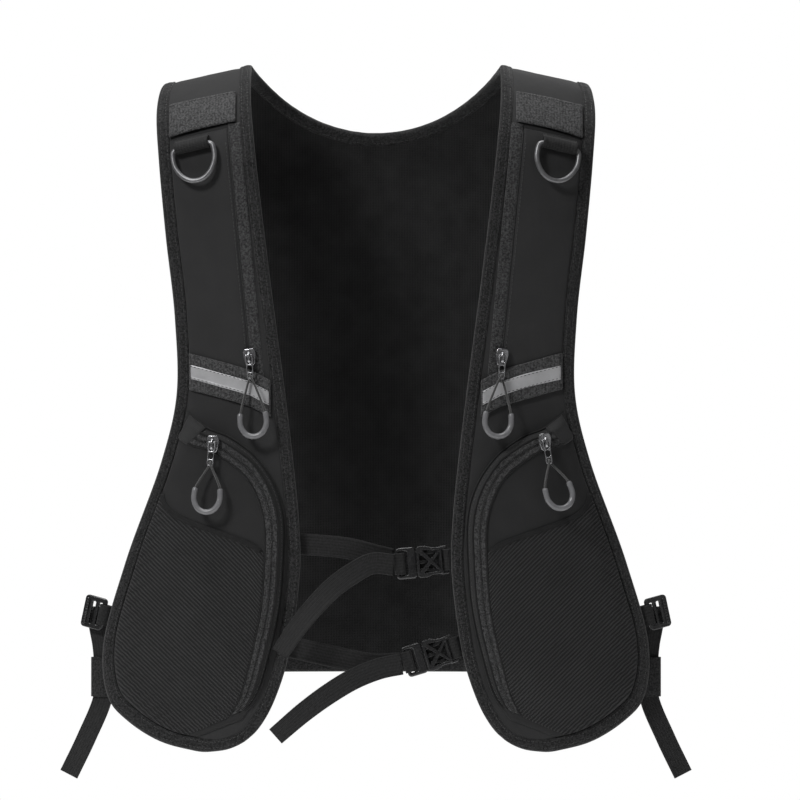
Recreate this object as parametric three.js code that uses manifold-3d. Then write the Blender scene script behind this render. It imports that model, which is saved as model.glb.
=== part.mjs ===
// A running and cycling utility vest, open in front, in millimetres: X to the wearer's left, -Y out of the
// chest, +Z up. The origin is midway between the shoulders at the height of their tops.
// Cloth is placed by (x, s): s is the distance down the cloth from the shoulder seam, and lift is the height
// of a layer over the mean surface of the vest.
import * as THREE from "three";
import { mergeVertices } from "three/addons/utils/BufferGeometryUtils.js";
import Module from "manifold-3d";

const wasm = await Module();
wasm.setup();

// Driving dimensions
const front = { sign: -1, depth: 80, flatten: 0.0011 };
const back = { sign: 1, depth: 80, flatten: 0.0009 };
const neckHalfWidth = 88;
const neckDepth = 88; // down the cloth of the back
const shoulderSlope = 0.22;
const bindingWidth = 8.5;
const neckBindingWidth = 9;
const seamGap = 0.6; // between two pieces that are sewn edge to edge
const layer = {
  lining: [-3, -1.6],
  backLining: [-3.8, -2.7],
  shell: [0.5, 1.5],
  binding: [-3.5, 2.1],
  overlay: [2.0, 2.8],
  webbing: [3.4, 4.6],
  tape: [5.0, 5.3],
};
const webbing = { wide: 25, narrow: 15, thick: 1.3 };
const cordRadius = 0.8;
const sleeveRadius = 2;
const ringWire = 1.75;
const buckle = { width: 22, depth: 9 };

// Outlines of the right front panel, as (x, z) seen from the front
const outerEdge = [
  [151.5, -14], [155, -33], [153, -68], [148, -122], [141.5, -180], [140.5, -235], [151, -280],
  [177, -352], [193, -412], [189, -448], [176, -463], [151, -478], [122, -485],
];
const centreEdge = [
  [88, 0], [88, -25], [85, -60], [74, -153], [62, -245], [54, -320], [53, -355], [61, -416],
  [68, -440], [77, -460], [89, -475], [104, -483],
];
const strapZip = { top: [104, -45], bottom: [87.5, -216], tapeWidth: 8.5 };
const pocketZip = {
  centre: [137.5, -328], radius: 64.5, seamRadius: 74, from: 1.84, to: 3.08, bandWidth: 14,
};
const pocketSeamTop = [132.5, -245.5];
const pocketSeamFoot = [[64, -350], [66.5, -381], [74, -416], [83, -445], [94, -461]];
const pocketCrown = 12.5;

// Outline of the back panel
const backSide = [
  [151.5, -14], [150, -60], [144, -120], [138, -180], [135, -235], [136, -300], [134, -350], [132, -434],
];
const backHem = -434;
const backCorner = 34;

const shoulderDrop = (x) => shoulderSlope * Math.max(0, Math.abs(x) - neckHalfWidth);
const halfDepth = (x, face) => face.depth - face.flatten * x * x;

// A point of the cloth: a quarter turn over the shoulder, then straight down.
function clothPoint(x, s, lift = 0, face = front) {
  const radius = halfDepth(x, face);
  const turn = Math.min(s / radius, Math.PI / 2);
  const straight = Math.max(0, s - (radius * Math.PI) / 2);
  const out = radius + lift;
  return new THREE.Vector3(
    x,
    face.sign * out * Math.sin(turn),
    -shoulderDrop(x) - radius + out * Math.cos(turn) - straight,
  );
}

// How far down the cloth a place lies that is seen at the height z.
function clothLength(x, z, face = front) {
  const radius = halfDepth(x, face);
  const drop = Math.max(0, -z - shoulderDrop(x));
  return drop < radius ? radius * Math.acos(1 - drop / radius) : (radius * Math.PI) / 2 + drop - radius;
}

const onCloth = (points, face = front) =>
  new THREE.CatmullRomCurve3(points.map(([x, z]) => new THREE.Vector3(x, clothLength(x, z, face), 0)));

// The frame of a piece that lies on the front: X across the cloth, Z straight up it, -Y away from it.
function clothFrame(x, z, lift, turn = 0) {
  const s = clothLength(x, z);
  const aside = clothPoint(x + 1, s, lift).sub(clothPoint(x - 1, s, lift));
  const up = clothPoint(x, s - 1, lift).sub(clothPoint(x, s + 1, lift)).normalize();
  const inward = up.clone().cross(aside).normalize();
  const group = new THREE.Group();
  group.applyMatrix4(
    new THREE.Matrix4()
      .makeBasis(inward.clone().cross(up), inward, up)
      .setPosition(clothPoint(x, s, lift)),
  );
  group.rotateY(turn);
  return group;
}

const mix = THREE.MathUtils.lerp;
const ease = (t) => THREE.MathUtils.smoothstep(t, 0, 1);

// Closing and joining solids

function closed(geometry) {
  geometry.deleteAttribute("normal");
  geometry.deleteAttribute("uv");
  const merged = mergeVertices(geometry, 1e-3);
  const { array } = merged.attributes.position;
  const index = merged.index.array;
  let volume = 0;
  for (let i = 0; i < index.length; i += 3) {
    const [a, b, c] = [0, 1, 2].map((k) => new THREE.Vector3().fromArray(array, 3 * index[i + k]));
    volume += a.dot(b.cross(c));
  }
  const insideOut = volume < 0;
  for (let i = 0; insideOut && i < index.length; i += 3) [index[i], index[i + 1]] = [index[i + 1], index[i]];
  return merged;
}

const solid = (geometry) => {
  const made = closed(geometry.index ? geometry.toNonIndexed() : geometry.clone());
  return new wasm.Manifold(
    new wasm.Mesh({
      numProp: 3,
      vertProperties: made.attributes.position.array,
      triVerts: new Uint32Array(made.index.array),
    }),
  );
};

function geometryOf(made) {
  const { vertProperties, triVerts } = made.getMesh();
  return new THREE.BufferGeometry()
    .setAttribute("position", new THREE.BufferAttribute(vertProperties, 3))
    .setIndex(new THREE.BufferAttribute(triVerts, 1));
}

const joined = (...pieces) => geometryOf(pieces.map(solid).reduce((a, b) => a.add(b)));
const cut = (piece, ...tools) => geometryOf(tools.map(solid).reduce((a, b) => a.subtract(b), solid(piece)));

const block = (x, y, z, at = [0, 0, 0]) => new THREE.BoxGeometry(x, y, z).translate(...at);

// A box bent so that its corners (u, v, w), each 0 to 1, stand where place puts them.
function warped(nu, nv, nw, place) {
  const geometry = new THREE.BoxGeometry(1, 1, 1, nu, nv, nw);
  const position = geometry.getAttribute("position");
  for (let i = 0; i < position.count; i++) {
    const p = place(position.getX(i) + 0.5, position.getY(i) + 0.5, position.getZ(i) + 0.5);
    position.setXYZ(i, p.x, p.y, p.z);
  }
  return closed(geometry);
}

// A strip of webbing along a route, with its width along the vector across.
function strip(route, across, width, steps, thick = webbing.thick) {
  const curve = new THREE.CatmullRomCurve3(route.map((p) => new THREE.Vector3(...p)));
  return warped(steps, 1, 1, (u, v, w) => {
    const side = (Array.isArray(across[0])
      ? new THREE.Vector3(...across[0]).lerp(new THREE.Vector3(...across[1]), u)
      : new THREE.Vector3(...across)
    ).normalize();
    const along = curve.getTangentAt(u);
    side.addScaledVector(along, -side.dot(along)).normalize();
    const over = along.clone().cross(side).normalize();
    return curve
      .getPointAt(u)
      .addScaledVector(side, (v - 0.5) * width)
      .addScaledVector(over, (w - 0.5) * thick);
  });
}

// A round bar bent into a ring along a closed curve, of the radius that radiusAt gives.
function ring(points, steps, sides, radiusAt) {
  const curve = new THREE.CatmullRomCurve3(points.map((p) => new THREE.Vector3(...p)), true);
  const { normals, binormals } = curve.computeFrenetFrames(steps, true);
  const geometry = new THREE.TorusGeometry(1, 0.4, sides, steps);
  const position = geometry.getAttribute("position");
  for (let j = 0; j <= sides; j++)
    for (let i = 0; i <= steps; i++) {
      const turn = (2 * Math.PI * (j % sides)) / sides;
      const centre = curve.getPointAt((i % steps) / steps);
      const radius = radiusAt(centre);
      centre.addScaledVector(normals[i % steps], radius * Math.cos(turn));
      centre.addScaledVector(binormals[i % steps], radius * Math.sin(turn));
      position.setXYZ(j * (steps + 1) + i, centre.x, centre.y, centre.z);
    }
  return closed(geometry);
}

// A plate in the XZ plane, thick along Y, from its outline and its holes as lists of (x, z).
function plate(outline, holes, thick, bevel = 0) {
  const shape = new THREE.Shape(outline.map(([x, z]) => new THREE.Vector2(x, z)));
  shape.holes = holes.map((hole) => new THREE.Path(hole.map(([x, z]) => new THREE.Vector2(x, z))));
  return new THREE.ExtrudeGeometry(shape, {
    depth: thick - 2 * bevel,
    bevelEnabled: bevel > 0,
    bevelThickness: bevel,
    bevelSize: bevel,
    bevelOffset: -bevel,
    bevelSegments: 1,
  })
    .translate(0, 0, bevel - thick / 2)
    .rotateX(Math.PI / 2);
}

const rectangle = (x, z, width, height, chamfer = 0) => {
  const [a, b] = [width / 2, height / 2];
  return [
    [x - a + chamfer, z - b], [x + a - chamfer, z - b], [x + a, z - b + chamfer], [x + a, z + b - chamfer],
    [x + a - chamfer, z + b], [x - a + chamfer, z + b], [x - a, z + b - chamfer], [x - a, z - b + chamfer],
  ].filter((p, i, all) => i === 0 || Math.hypot(p[0] - all[i - 1][0], p[1] - all[i - 1][1]) > 1e-6)
    .filter((p, i, all) => i < all.length - 1 || Math.hypot(p[0] - all[0][0], p[1] - all[0][1]) > 1e-6);
};

// Materials: one new material for each mesh
const finish = {
  shellFabric: { color: 0x2c2c2d, roughness: 0.85 },
  spacerMesh: { color: 0x121213, roughness: 0.95 },
  binding: { color: 0x3a3a3b, roughness: 0.9 },
  webbing: { color: 0x4b4b4c, roughness: 0.8 },
  mesh: { color: 0x303031, roughness: 0.9 },
  reflective: { color: 0xd0d0d0, roughness: 0.45 },
  zipTape: { color: 0x2a2a2b, roughness: 0.8 },
  metal: { color: 0x808080, roughness: 0.35, metalness: 0.9 },
  sleeve: { color: 0x777778, roughness: 0.5 },
  plastic: { color: 0x18181a, roughness: 0.35 },
};

const root = new THREE.Group();
const piece = (name, geometry, finishName, parent = root) => {
  const mesh = new THREE.Mesh(geometry, new THREE.MeshStandardMaterial(finish[finishName]));
  mesh.name = name;
  parent.add(mesh);
  return mesh;
};

// Front panels: rows across the panel, each from its centre edge to its outer edge

const rows = 22;
const rowShare = (k) => Math.pow(k / (rows - 1), 1.2);
const outerRoute = onCloth(outerEdge);
const centreRoute = onCloth(centreEdge);
const frontEdge = [
  ...Array.from({ length: rows }, (_, k) => outerRoute.getPointAt(rowShare(k))),
  ...Array.from({ length: rows }, (_, k) => centreRoute.getPointAt(rowShare(rows - 1 - k))),
];

// The panel's edge moved inwards, still with one point for each end of a row.
function insetEdge(inset) {
  return frontEdge.map((p, i) => {
    const along = frontEdge[Math.min(i + 1, frontEdge.length - 1)].clone().sub(frontEdge[Math.max(i - 1, 0)]);
    const end = i === 0 || i === frontEdge.length - 1;
    const inward = end ? new THREE.Vector3(i === 0 ? -1 : 1, 0, 0) : new THREE.Vector3(-along.y, along.x, 0);
    const moved = p.clone().addScaledVector(inward.normalize(), inset);
    moved.y = Math.max(moved.y, 0.5 * seamGap);
    return moved;
  });
}

function frontSheet(inset, [low, high], columns) {
  const edge = insetEdge(inset);
  return warped(columns, rows - 1, 1, (u, v, w) => {
    const k = Math.round(v * (rows - 1));
    const at = edge[edge.length - 1 - k].clone().lerp(edge[k], u);
    return clothPoint(at.x, at.y, mix(low, high, w));
  });
}

function frontBinding() {
  const rim = insetEdge(0);
  const inner = insetEdge(bindingWidth);
  const middle = (layer.binding[0] + layer.binding[1]) / 2;
  return warped(frontEdge.length - 1, 2, 1, (u, v, w) => {
    const k = Math.round(u * (frontEdge.length - 1));
    const at = rim[k].clone().lerp(inner[k], v);
    const rolled = v === 0 ? 0.55 : 1;
    return clothPoint(at.x, at.y, middle + (mix(...layer.binding, w) - middle) * rolled);
  });
}

// The binding's inner line, where it is seen at a given height on the outer side.
function bindingLineAt(z) {
  const inner = insetEdge(bindingWidth + seamGap).slice(0, rows);
  const heights = inner.map((p) => clothPoint(p.x, p.y).z);
  const k = heights.findIndex((h) => h < z);
  return mix(inner[k - 1].x, inner[k].x, (heights[k - 1] - z) / (heights[k - 1] - heights[k]));
}

const zipLine = (z) =>
  mix(strapZip.top[0], strapZip.bottom[0], (z - strapZip.top[1]) / (strapZip.bottom[1] - strapZip.top[1]));

// A patch of cloth between two lines that are given by height, flat on the front.
function patch(top, bottom, [leftAt, rightAt], [low, high], columns, steps) {
  return warped(columns, steps, 1, (u, v, w) => {
    const z = mix(mix(top[0], top[1], u), mix(bottom[0], bottom[1], u), v);
    const x = mix(leftAt(z), rightAt(z), u);
    return clothPoint(x, clothLength(x, z), mix(low, high, w));
  });
}

// A band of webbing that crosses the panel between two points, seen from the front.
function band([x0, z0], [x1, z1], width, [low, high], steps) {
  return warped(steps, 3, 1, (u, v, w) => {
    const x = mix(x0, x1, u);
    const s = mix(clothLength(x0, z0), clothLength(x1, z1), u) + (v - 0.5) * width;
    return clothPoint(x, s, mix(low, high, w));
  });
}

// The lower pocket: columns from its curved seam to the binding, rows from its top to its bottom

function pocketSeam() {
  const { centre, seamRadius, from, to } = pocketZip;
  const steps = 6;
  const arc = Array.from({ length: steps + 1 }, (_, k) => {
    const turn = mix(from, to, k / steps);
    return [centre[0] + seamRadius * Math.cos(turn), centre[1] + seamRadius * Math.sin(turn)];
  });
  return [pocketSeamTop, ...arc, ...pocketSeamFoot];
}

const pocketInner = onCloth(pocketSeam());
const bindingCurve = new THREE.CatmullRomCurve3(insetEdge(bindingWidth + 2 * seamGap).slice(0, rows));
const alongBinding = { from: 0.515, to: 0.985 };

function pocketPoint(u, v, lift) {
  const inner = pocketInner.getPointAt(v);
  const outer = bindingCurve.getPointAt(mix(alongBinding.from, alongBinding.to, v));
  const at = inner.clone().lerp(outer, u);
  const width = inner.distanceTo(outer);
  const deep = u * width; // distance from the seam
  const wall = 0.62 * ease(deep / gussetDepth);
  const shelf = 0.12 * THREE.MathUtils.clamp((deep - gussetDepth) / 9, 0, 1);
  const crown = 0.26 * ease((deep - pocketZip.bandWidth) / 30);
  const towardBinding = Math.pow(Math.cos((u * Math.PI) / 2), 0.7);
  const ends = ease(v / 0.08) * ease((1 - v) / 0.25);
  return clothPoint(at.x, at.y, lift + pocketCrown * (wall + shelf + crown) * towardBinding * ends);
}

// Columns of the pocket: four across its gusset and zip, the others over its crown.
function pocketColumn(k, columns, v) {
  const width = pocketWidthAt(v);
  const last = Math.min(0.5, pocketZip.bandWidth / width);
  if (k < 4) return Math.min(last * (k / 4), gussetSteps[k] / width);
  return mix(last, pocketEdge, (k - 4) / (columns - 4));
}

const pocketWidthAt = (v) =>
  pocketInner.getPointAt(v).distanceTo(bindingCurve.getPointAt(mix(alongBinding.from, alongBinding.to, v)));

const pocketRows = 16;
const gussetDepth = 5;
const gussetSteps = [0, 2.5, 5, 9.5];
const meshTop = { inner: 0.53, outer: 0.17, low: 1.9, thick: 0.9 };
const pocketTape = { from: 5.5, to: 13.5, low: 1.4, thick: 0.7 }; // across the gusset, over the pocket's base
const pocketEdge = 0.985; // the pocket's outer side, as a share of the way to the binding

function pocketBody() {
  const columns = 11;
  return warped(columns, pocketRows, 1, (u, v, w) => {
    const across = pocketColumn(Math.round(u * columns), columns, v);
    return pocketPoint(across, v, mix(layer.overlay[0], layer.overlay[0] + 1, w));
  });
}

function meshPocket() {
  return warped(7, 11, 1, (u, v, w) => {
    const top = mix(meshTop.inner, meshTop.outer, u);
    const down = mix(top, 0.97, v);
    const start = (pocketZip.bandWidth + 1) / pocketWidthAt(down);
    return pocketPoint(mix(start, pocketEdge, u), down, layer.overlay[0] + meshTop.low + meshTop.thick * w);
  });
}

function pocketZipTape() {
  return warped(2, pocketRows - 3, 1, (u, v, w) => {
    const down = mix(2, pocketRows - 1, v) / pocketRows;
    const across = mix(pocketTape.from, pocketTape.to, u) / pocketWidthAt(down);
    return pocketPoint(across, down, layer.overlay[0] + pocketTape.low + pocketTape.thick * w);
  });
}

// Zip sliders with a bail, a tab that hangs from it, and a cord loop with a moulded sleeve

const barDrop = 2.6; // the tab's upper bar stands this far out of the slider's face
const tabLength = 17;
const pullHole = 2.6; // above the tab's foot

function slider() {
  const shape = plate([[-4, 6], [4, 6], [4.6, 2], [3.2, -6], [-3.2, -6], [-4.6, 2]], [], 2.4, 0.5);
  const bail = new THREE.ExtrudeGeometry(
    new THREE.Shape([[1.4, -4.4], [1.4, 3.6], [-3.4, 3.6], [-4.6, 2.4], [-4.6, -3.2], [-3.4, -4.4]]
      .map(([y, z]) => new THREE.Vector2(y, z))),
    { depth: 2.2, bevelEnabled: false },
  );
  const hole = new THREE.ExtrudeGeometry(
    new THREE.Shape([[-1, -3], [-1, 2.3], [-3.4, 2.3], [-3.4, -3]].map(([y, z]) => new THREE.Vector2(y, z))),
    { depth: 6, bevelEnabled: false },
  );
  const upright = (geometry, depth) =>
    geometry.translate(0, 0, -depth / 2).applyMatrix4(
      new THREE.Matrix4().set(0, 0, 1, 0, 1, 0, 0, 0, 0, 1, 0, 0, 0, 0, 0, 1));
  return geometryOf(solid(shape).add(solid(upright(bail, 2.2)).subtract(solid(upright(hole, 6)))));
}

// The tab's origin is the axis of its upper bar.
const tab = () =>
  plate(
    [[-2.8, 0.7], [2.8, 0.7], [2.8, -7], [2.4, -tabLength], [-2.4, -tabLength], [-2.8, -7]],
    [rectangle(0, -3.5, 3.2, 5.6), rectangle(0, pullHole - tabLength, 3, 3, 0.8)],
    1.2,
  );

// The pull's origin is the hole at the tab's foot, which its cord goes through from front to back.
function pull(reach) {
  const half = 9.25;
  const turn = reach - sleeveRadius;
  const sleeveTop = -(turn - 17);
  return ring(
    [
      [0, 0, 0.3], [-0.2, -1.9, -0.4], [-1.6, -2, -3],
      [-half * 0.93, -0.4, sleeveTop + 1], [-half, 0, sleeveTop - 3],
      [-half * 0.98, 0, 7.5 - turn], [-half * 0.6, 0, 1.2 - turn], [0, 0, -turn],
      [half * 0.6, 0, 1.2 - turn], [half * 0.98, 0, 7.5 - turn],
      [half, 0, sleeveTop - 3], [half * 0.93, 0.4, sleeveTop + 1], [1.6, 2, -3], [0.2, 1.9, -0.4],
    ],
    30, 6,
    (p) => mix(cordRadius, sleeveRadius, ease((sleeveTop + 1 - p.z) / 1.5)),
  );
}

function zipPull(side, kind, group, { reach, lean = 0, swing = 0 }) {
  piece(`${side}_${kind}_slider`, slider(), "metal", group);
  const tabGroup = new THREE.Group();
  tabGroup.position.set(0, -(1 + barDrop / 2), 1.3);
  tabGroup.rotation.x = -lean;
  group.add(tabGroup);
  piece(`${side}_${kind}_tab`, tab(), "metal", tabGroup);
  const pullGroup = new THREE.Group();
  pullGroup.position.z = pullHole - tabLength;
  pullGroup.rotation.y = swing;
  tabGroup.add(pullGroup);
  piece(`${side}_${kind}_pull`, pull(reach), "sleeve", pullGroup);
}

// D-ring in its loop of webbing

const ringHang = { x: 129, z: -60, lift: 7 };

function dRing() {
  const [half, drop] = [15.2, 24.5];
  return ring(
    [
      [-11.5, 0, 0], [-6, 0, 0.05], [0, 0, 0.05], [6, 0, 0.05], [11.5, 0, 0], [14.4, 0, -1.6], [half, 0, -5],
      [half * 0.96, 0, -12.5], [half * 0.66, 0, -20.4], [half * 0.25, 0, -drop], [-half * 0.25, 0, -drop],
      [-half * 0.66, 0, -20.4], [-half * 0.96, 0, -12.5], [-half, 0, -5], [-14.4, 0, -1.6],
    ],
    28, 6, () => ringWire,
  );
}

function webbingLoop(width, radius, tail) {
  const outside = radius + 1.1;
  const arc = Array.from({ length: 9 }, (_, i) => {
    const turn = Math.PI * (1 + i / 8);
    return new THREE.Vector2(outside * Math.cos(turn), outside * Math.sin(turn));
  });
  const shape = new THREE.Shape([
    ...arc, new THREE.Vector2(outside, tail), new THREE.Vector2(outside - 2.2, tail),
    new THREE.Vector2(outside - 2.2, radius + 2.6), new THREE.Vector2(-outside, radius / 2),
  ]);
  const hole = Array.from({ length: 12 }, (_, i) => {
    const turn = (Math.PI * i) / 6;
    return new THREE.Vector2(radius * Math.cos(turn), radius * Math.sin(turn));
  });
  shape.holes = [new THREE.Path(hole)];
  return new THREE.ExtrudeGeometry(shape, { depth: width, bevelEnabled: false })
    .translate(0, 0, -width / 2)
    .applyMatrix4(new THREE.Matrix4().set(0, 0, 1, 0, 1, 0, 0, 0, 0, 1, 0, 0, 0, 0, 0, 1));
}

// Ladder lock: a frame of three bars; its origin is the axis of the bar that the loop holds

function ladderLock() {
  const [width, length, thick] = [23, 17, 2.6];
  const frame = plate(
    rectangle(0, -length / 2 + 1.4, width, length, 1.6),
    [rectangle(0, -2.9, 16, 3, 0.4), rectangle(0, -8.3, 16, 2.6, 0.4)],
    thick, 0.5,
  );
  const lip = block(width - 4, 1.4, 3, [0, -1.7, -13.2]);
  return joined(frame, lip);
}

// Side strap: sewn inside the back panel's edge, round the side to the ladder lock, down through the keeper

const sideLock = { x: 193, z: -389, lift: -4.8, tilt: -0.23 };
const keeper = { x: 193, z: -433, lift: -8.6, height: 28 };

function keeperTube() {
  const rect = (x, y) => [[-x, -y], [x, -y], [x, y], [-x, y]].map(([a, b]) => new THREE.Vector2(a, b));
  const shape = new THREE.Shape(rect(9.4, 2.6));
  shape.holes = [new THREE.Path(rect(8.4, 1.6))];
  return new THREE.ExtrudeGeometry(shape, { depth: keeper.height, bevelEnabled: false })
    .translate(0, 0, -keeper.height / 2);
}

function sideStrap() {
  const round = strip(
    [
      [112, 63.4, -398], [128, 58, -398], [150, 48, -397], [176, 26, -395], [196, 0, -392], [201, -18, -391],
      [199, -26, -391],
    ],
    [0, 0, 1], webbing.narrow, 14,
  );
  const tail = strip(
    [
      [198, -24.4, -385], [197, -26, -395], [194.3, -29, -409], [193.2, -30.3, -420], [193, -30.4, -433],
      [193.6, -30.4, -448], [205, -30.6, -476], [217.5, -31, -502],
    ],
    [0.92, 0.39, 0], webbing.narrow, 14,
  );
  return joined(round, tail);
}

// Side-release buckle; its origin is its middle, with the plug toward -X

const socketCavity = { end: 11.8, width: 17, depth: 4.8 };

function socket() {
  const body = plate(
    [
      [-3.6, -9.6], [-2, -11], [3, -11], [7, -9.4], [12, -9.4], [14, -8.8], [14, 8.8], [12, 9.4], [7, 9.4],
      [3, 11], [-2, 11], [-3.6, 9.6],
    ],
    [], buckle.depth, 1,
  );
  const end = plate(rectangle(15.2, 0, 6.6, 20, 1), [rectangle(14.6, 0, 3.6, webbing.narrow + 1.5)], 2.8);
  const cavity = block(18, socketCavity.depth, socketCavity.width, [socketCavity.end - 9, 0, 0]);
  const windows = block(7.3, socketCavity.depth, 30, [8.15, 0, 0]);
  const slot = block(3.6, 20, webbing.narrow + 1.5, [14.6, 0, 0]);
  return cut(joined(body, end), cavity, windows, slot);
}

function plug() {
  const base = plate(
    rectangle(-11.3, 0, 14.4, buckle.width, 2),
    [rectangle(-13.4, 0, 5.8, webbing.narrow + 1.5, 0.6)],
    6, 0.8,
  );
  const prong = (side) => plate(
    [[-5, 4.4], [8, 5], [10.8, 6.6], [6.4, 8.1], [5, 6.9], [-5, 7.6]].map(([x, z]) => [x, z * side]),
    [], 3.8,
  );
  const guide = block(14, 3, 3, [1, 0, 0]);
  return joined(base, prong(1), prong(-1), guide);
}

const tailTwist = [-0.3, 0.5, 0.8]; // across a strap's end, which has turned partly edge on
const chest = {
  upper: {
    at: [32.5, -72, -350.5],
    tilt: 0.087,
    strap: [[-68, -69.8, -336.5], [-50, -70.2, -338.2], [-20, -71, -341], [0, -71, -346], [11, -70, -348.6]],
    tail: [
      [12.4, -78.6, -352.4], [-2, -81, -351.4], [-14, -83.6, -357], [-29, -87, -367.5], [-42, -89.8, -380.5],
      [-54, -92.2, -395], [-67, -94, -414],
    ],
  },
  lower: {
    at: [38, -72, -416],
    tilt: 0.29,
    strap: [[-72, -69.8, -407], [-57, -70.2, -411], [-30, -71, -417], [0, -71, -422.5], [17.4, -70, -421.6]],
    tail: [
      [18, -78.6, -422], [3, -81, -425], [-15, -83.6, -432], [-32, -86.8, -442], [-50, -89.4, -455],
      [-70, -91.6, -472],
    ],
  },
};

function buildChest(level, { at, tilt, strap, tail }) {
  const group = new THREE.Group();
  group.position.set(...at);
  group.rotation.y = -tilt;
  root.add(group);
  piece(`${level}_chest_socket`, socket(), "plastic", group);
  piece(`${level}_chest_plug`, plug(), "plastic", group);
  const loopGroup = new THREE.Group();
  loopGroup.position.x = 17.45;
  loopGroup.rotation.y = Math.PI / 2;
  group.add(loopGroup);
  piece(`${level}_chest_socket_loop`, webbingLoop(webbing.narrow, 1.95, 15), "webbing", loopGroup);
  piece(`${level}_chest_strap`, strip(strap, [0, 0, 1], webbing.narrow, 8), "webbing");
  piece(`${level}_chest_tail`, strip(tail, [[0, 0, 1], tailTwist], webbing.narrow, 16), "webbing");
}

// Back panel: columns (u from -1 to 1) run down it, and rows (v from 0 to 1) cross it

const backRows = 16;
const neckSteps = 12;
const wingSteps = 3;
const backRoute = onCloth(backSide, back).getPoints(80);
const backHemHalf = backSide[backSide.length - 1][0];

function backHalfWidth(s) {
  const beyond = backRoute.findIndex((p) => p.y >= s);
  const k = beyond < 0 ? backRoute.length - 1 : Math.max(1, beyond);
  const [a, b] = [backRoute[k - 1], backRoute[k]];
  return mix(a.x, b.x, THREE.MathUtils.clamp((s - a.y) / (b.y - a.y), 0, 1));
}

function backAt(u, v, inset, neckInset = inset) {
  const seamHalf = backHalfWidth(0) - inset;
  const neckRadius = neckHalfWidth + neckInset;
  const x = Math.abs(u) * seamHalf;
  const sunk = Math.sqrt(Math.max(0, 1 - (x / neckRadius) ** 2));
  const top = (neckRadius * sunk * neckDepth) / neckHalfWidth;
  const round = Math.max(0, (Math.abs(u) - 0.76) / 0.24);
  const corner = backCorner * (1 - Math.sqrt(1 - round * round));
  const bottom = clothLength(u * (backHemHalf - inset), backHem + inset + corner, back);
  const s = mix(Math.max(top, seamGap / 2), bottom, v);
  return { x: u * (backHalfWidth(s) - inset), s };
}

const backRow = (k) => Math.pow(k / backRows, 1.5);

function backColumn(k, inset, neckInset) {
  const neck = (neckHalfWidth + neckInset) / (backHalfWidth(0) - inset);
  const columns = neckSteps + 2 * wingSteps;
  if (k <= wingSteps) return mix(-1, -neck, k / wingSteps);
  if (k >= columns - wingSteps) return mix(neck, 1, (k - columns + wingSteps) / wingSteps);
  return -neck * Math.cos((Math.PI * (k - wingSteps)) / neckSteps);
}

function backSheet([low, high]) {
  const columns = neckSteps + 2 * wingSteps;
  const inset = bindingWidth + seamGap;
  const neckInset = neckBindingWidth + seamGap;
  return warped(columns, backRows, 1, (u, v, w) => {
    const row = backRow(Math.round(v * backRows));
    const at = backAt(backColumn(Math.round(u * columns), inset, neckInset), row, inset, neckInset);
    return clothPoint(at.x, at.s, mix(low, high, w), back);
  });
}

function backEdgeBinding() {
  const columns = neckSteps + 2 * wingSteps;
  const steps = columns + 2 * backRows;
  const [inward, neckInset] = [bindingWidth + seamGap, neckBindingWidth + seamGap];
  const middle = (layer.binding[0] + layer.binding[1]) / 2;
  return warped(steps, 2, 1, (u, v, w) => {
    const k = Math.round(u * steps);
    const inset = v * bindingWidth;
    const down = backRow(Math.min(k, steps - k, backRows));
    const column = THREE.MathUtils.clamp(k - backRows, 0, columns);
    const at = backAt(backColumn(column, inward, neckInset), down, inset);
    const rolled = v === 0 ? 0.55 : 1;
    return clothPoint(at.x, at.s, middle + (mix(...layer.binding, w) - middle) * rolled, back);
  });
}

function backNeckBinding() {
  const inset = bindingWidth + seamGap;
  const middle = (layer.binding[0] + layer.binding[1]) / 2;
  return warped(neckSteps, 2, 1, (u, v, w) => {
    const across = v * neckBindingWidth;
    const column = backColumn(wingSteps + Math.round(u * neckSteps), inset, across);
    const at = backAt(column, 0, inset, across);
    const rolled = v === 0 ? 0.55 : 1;
    return clothPoint(at.x, at.s, middle + (mix(...layer.binding, w) - middle) * rolled, back);
  });
}

// One side of the vest, made for the wearer's left and mirrored for the right

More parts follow.
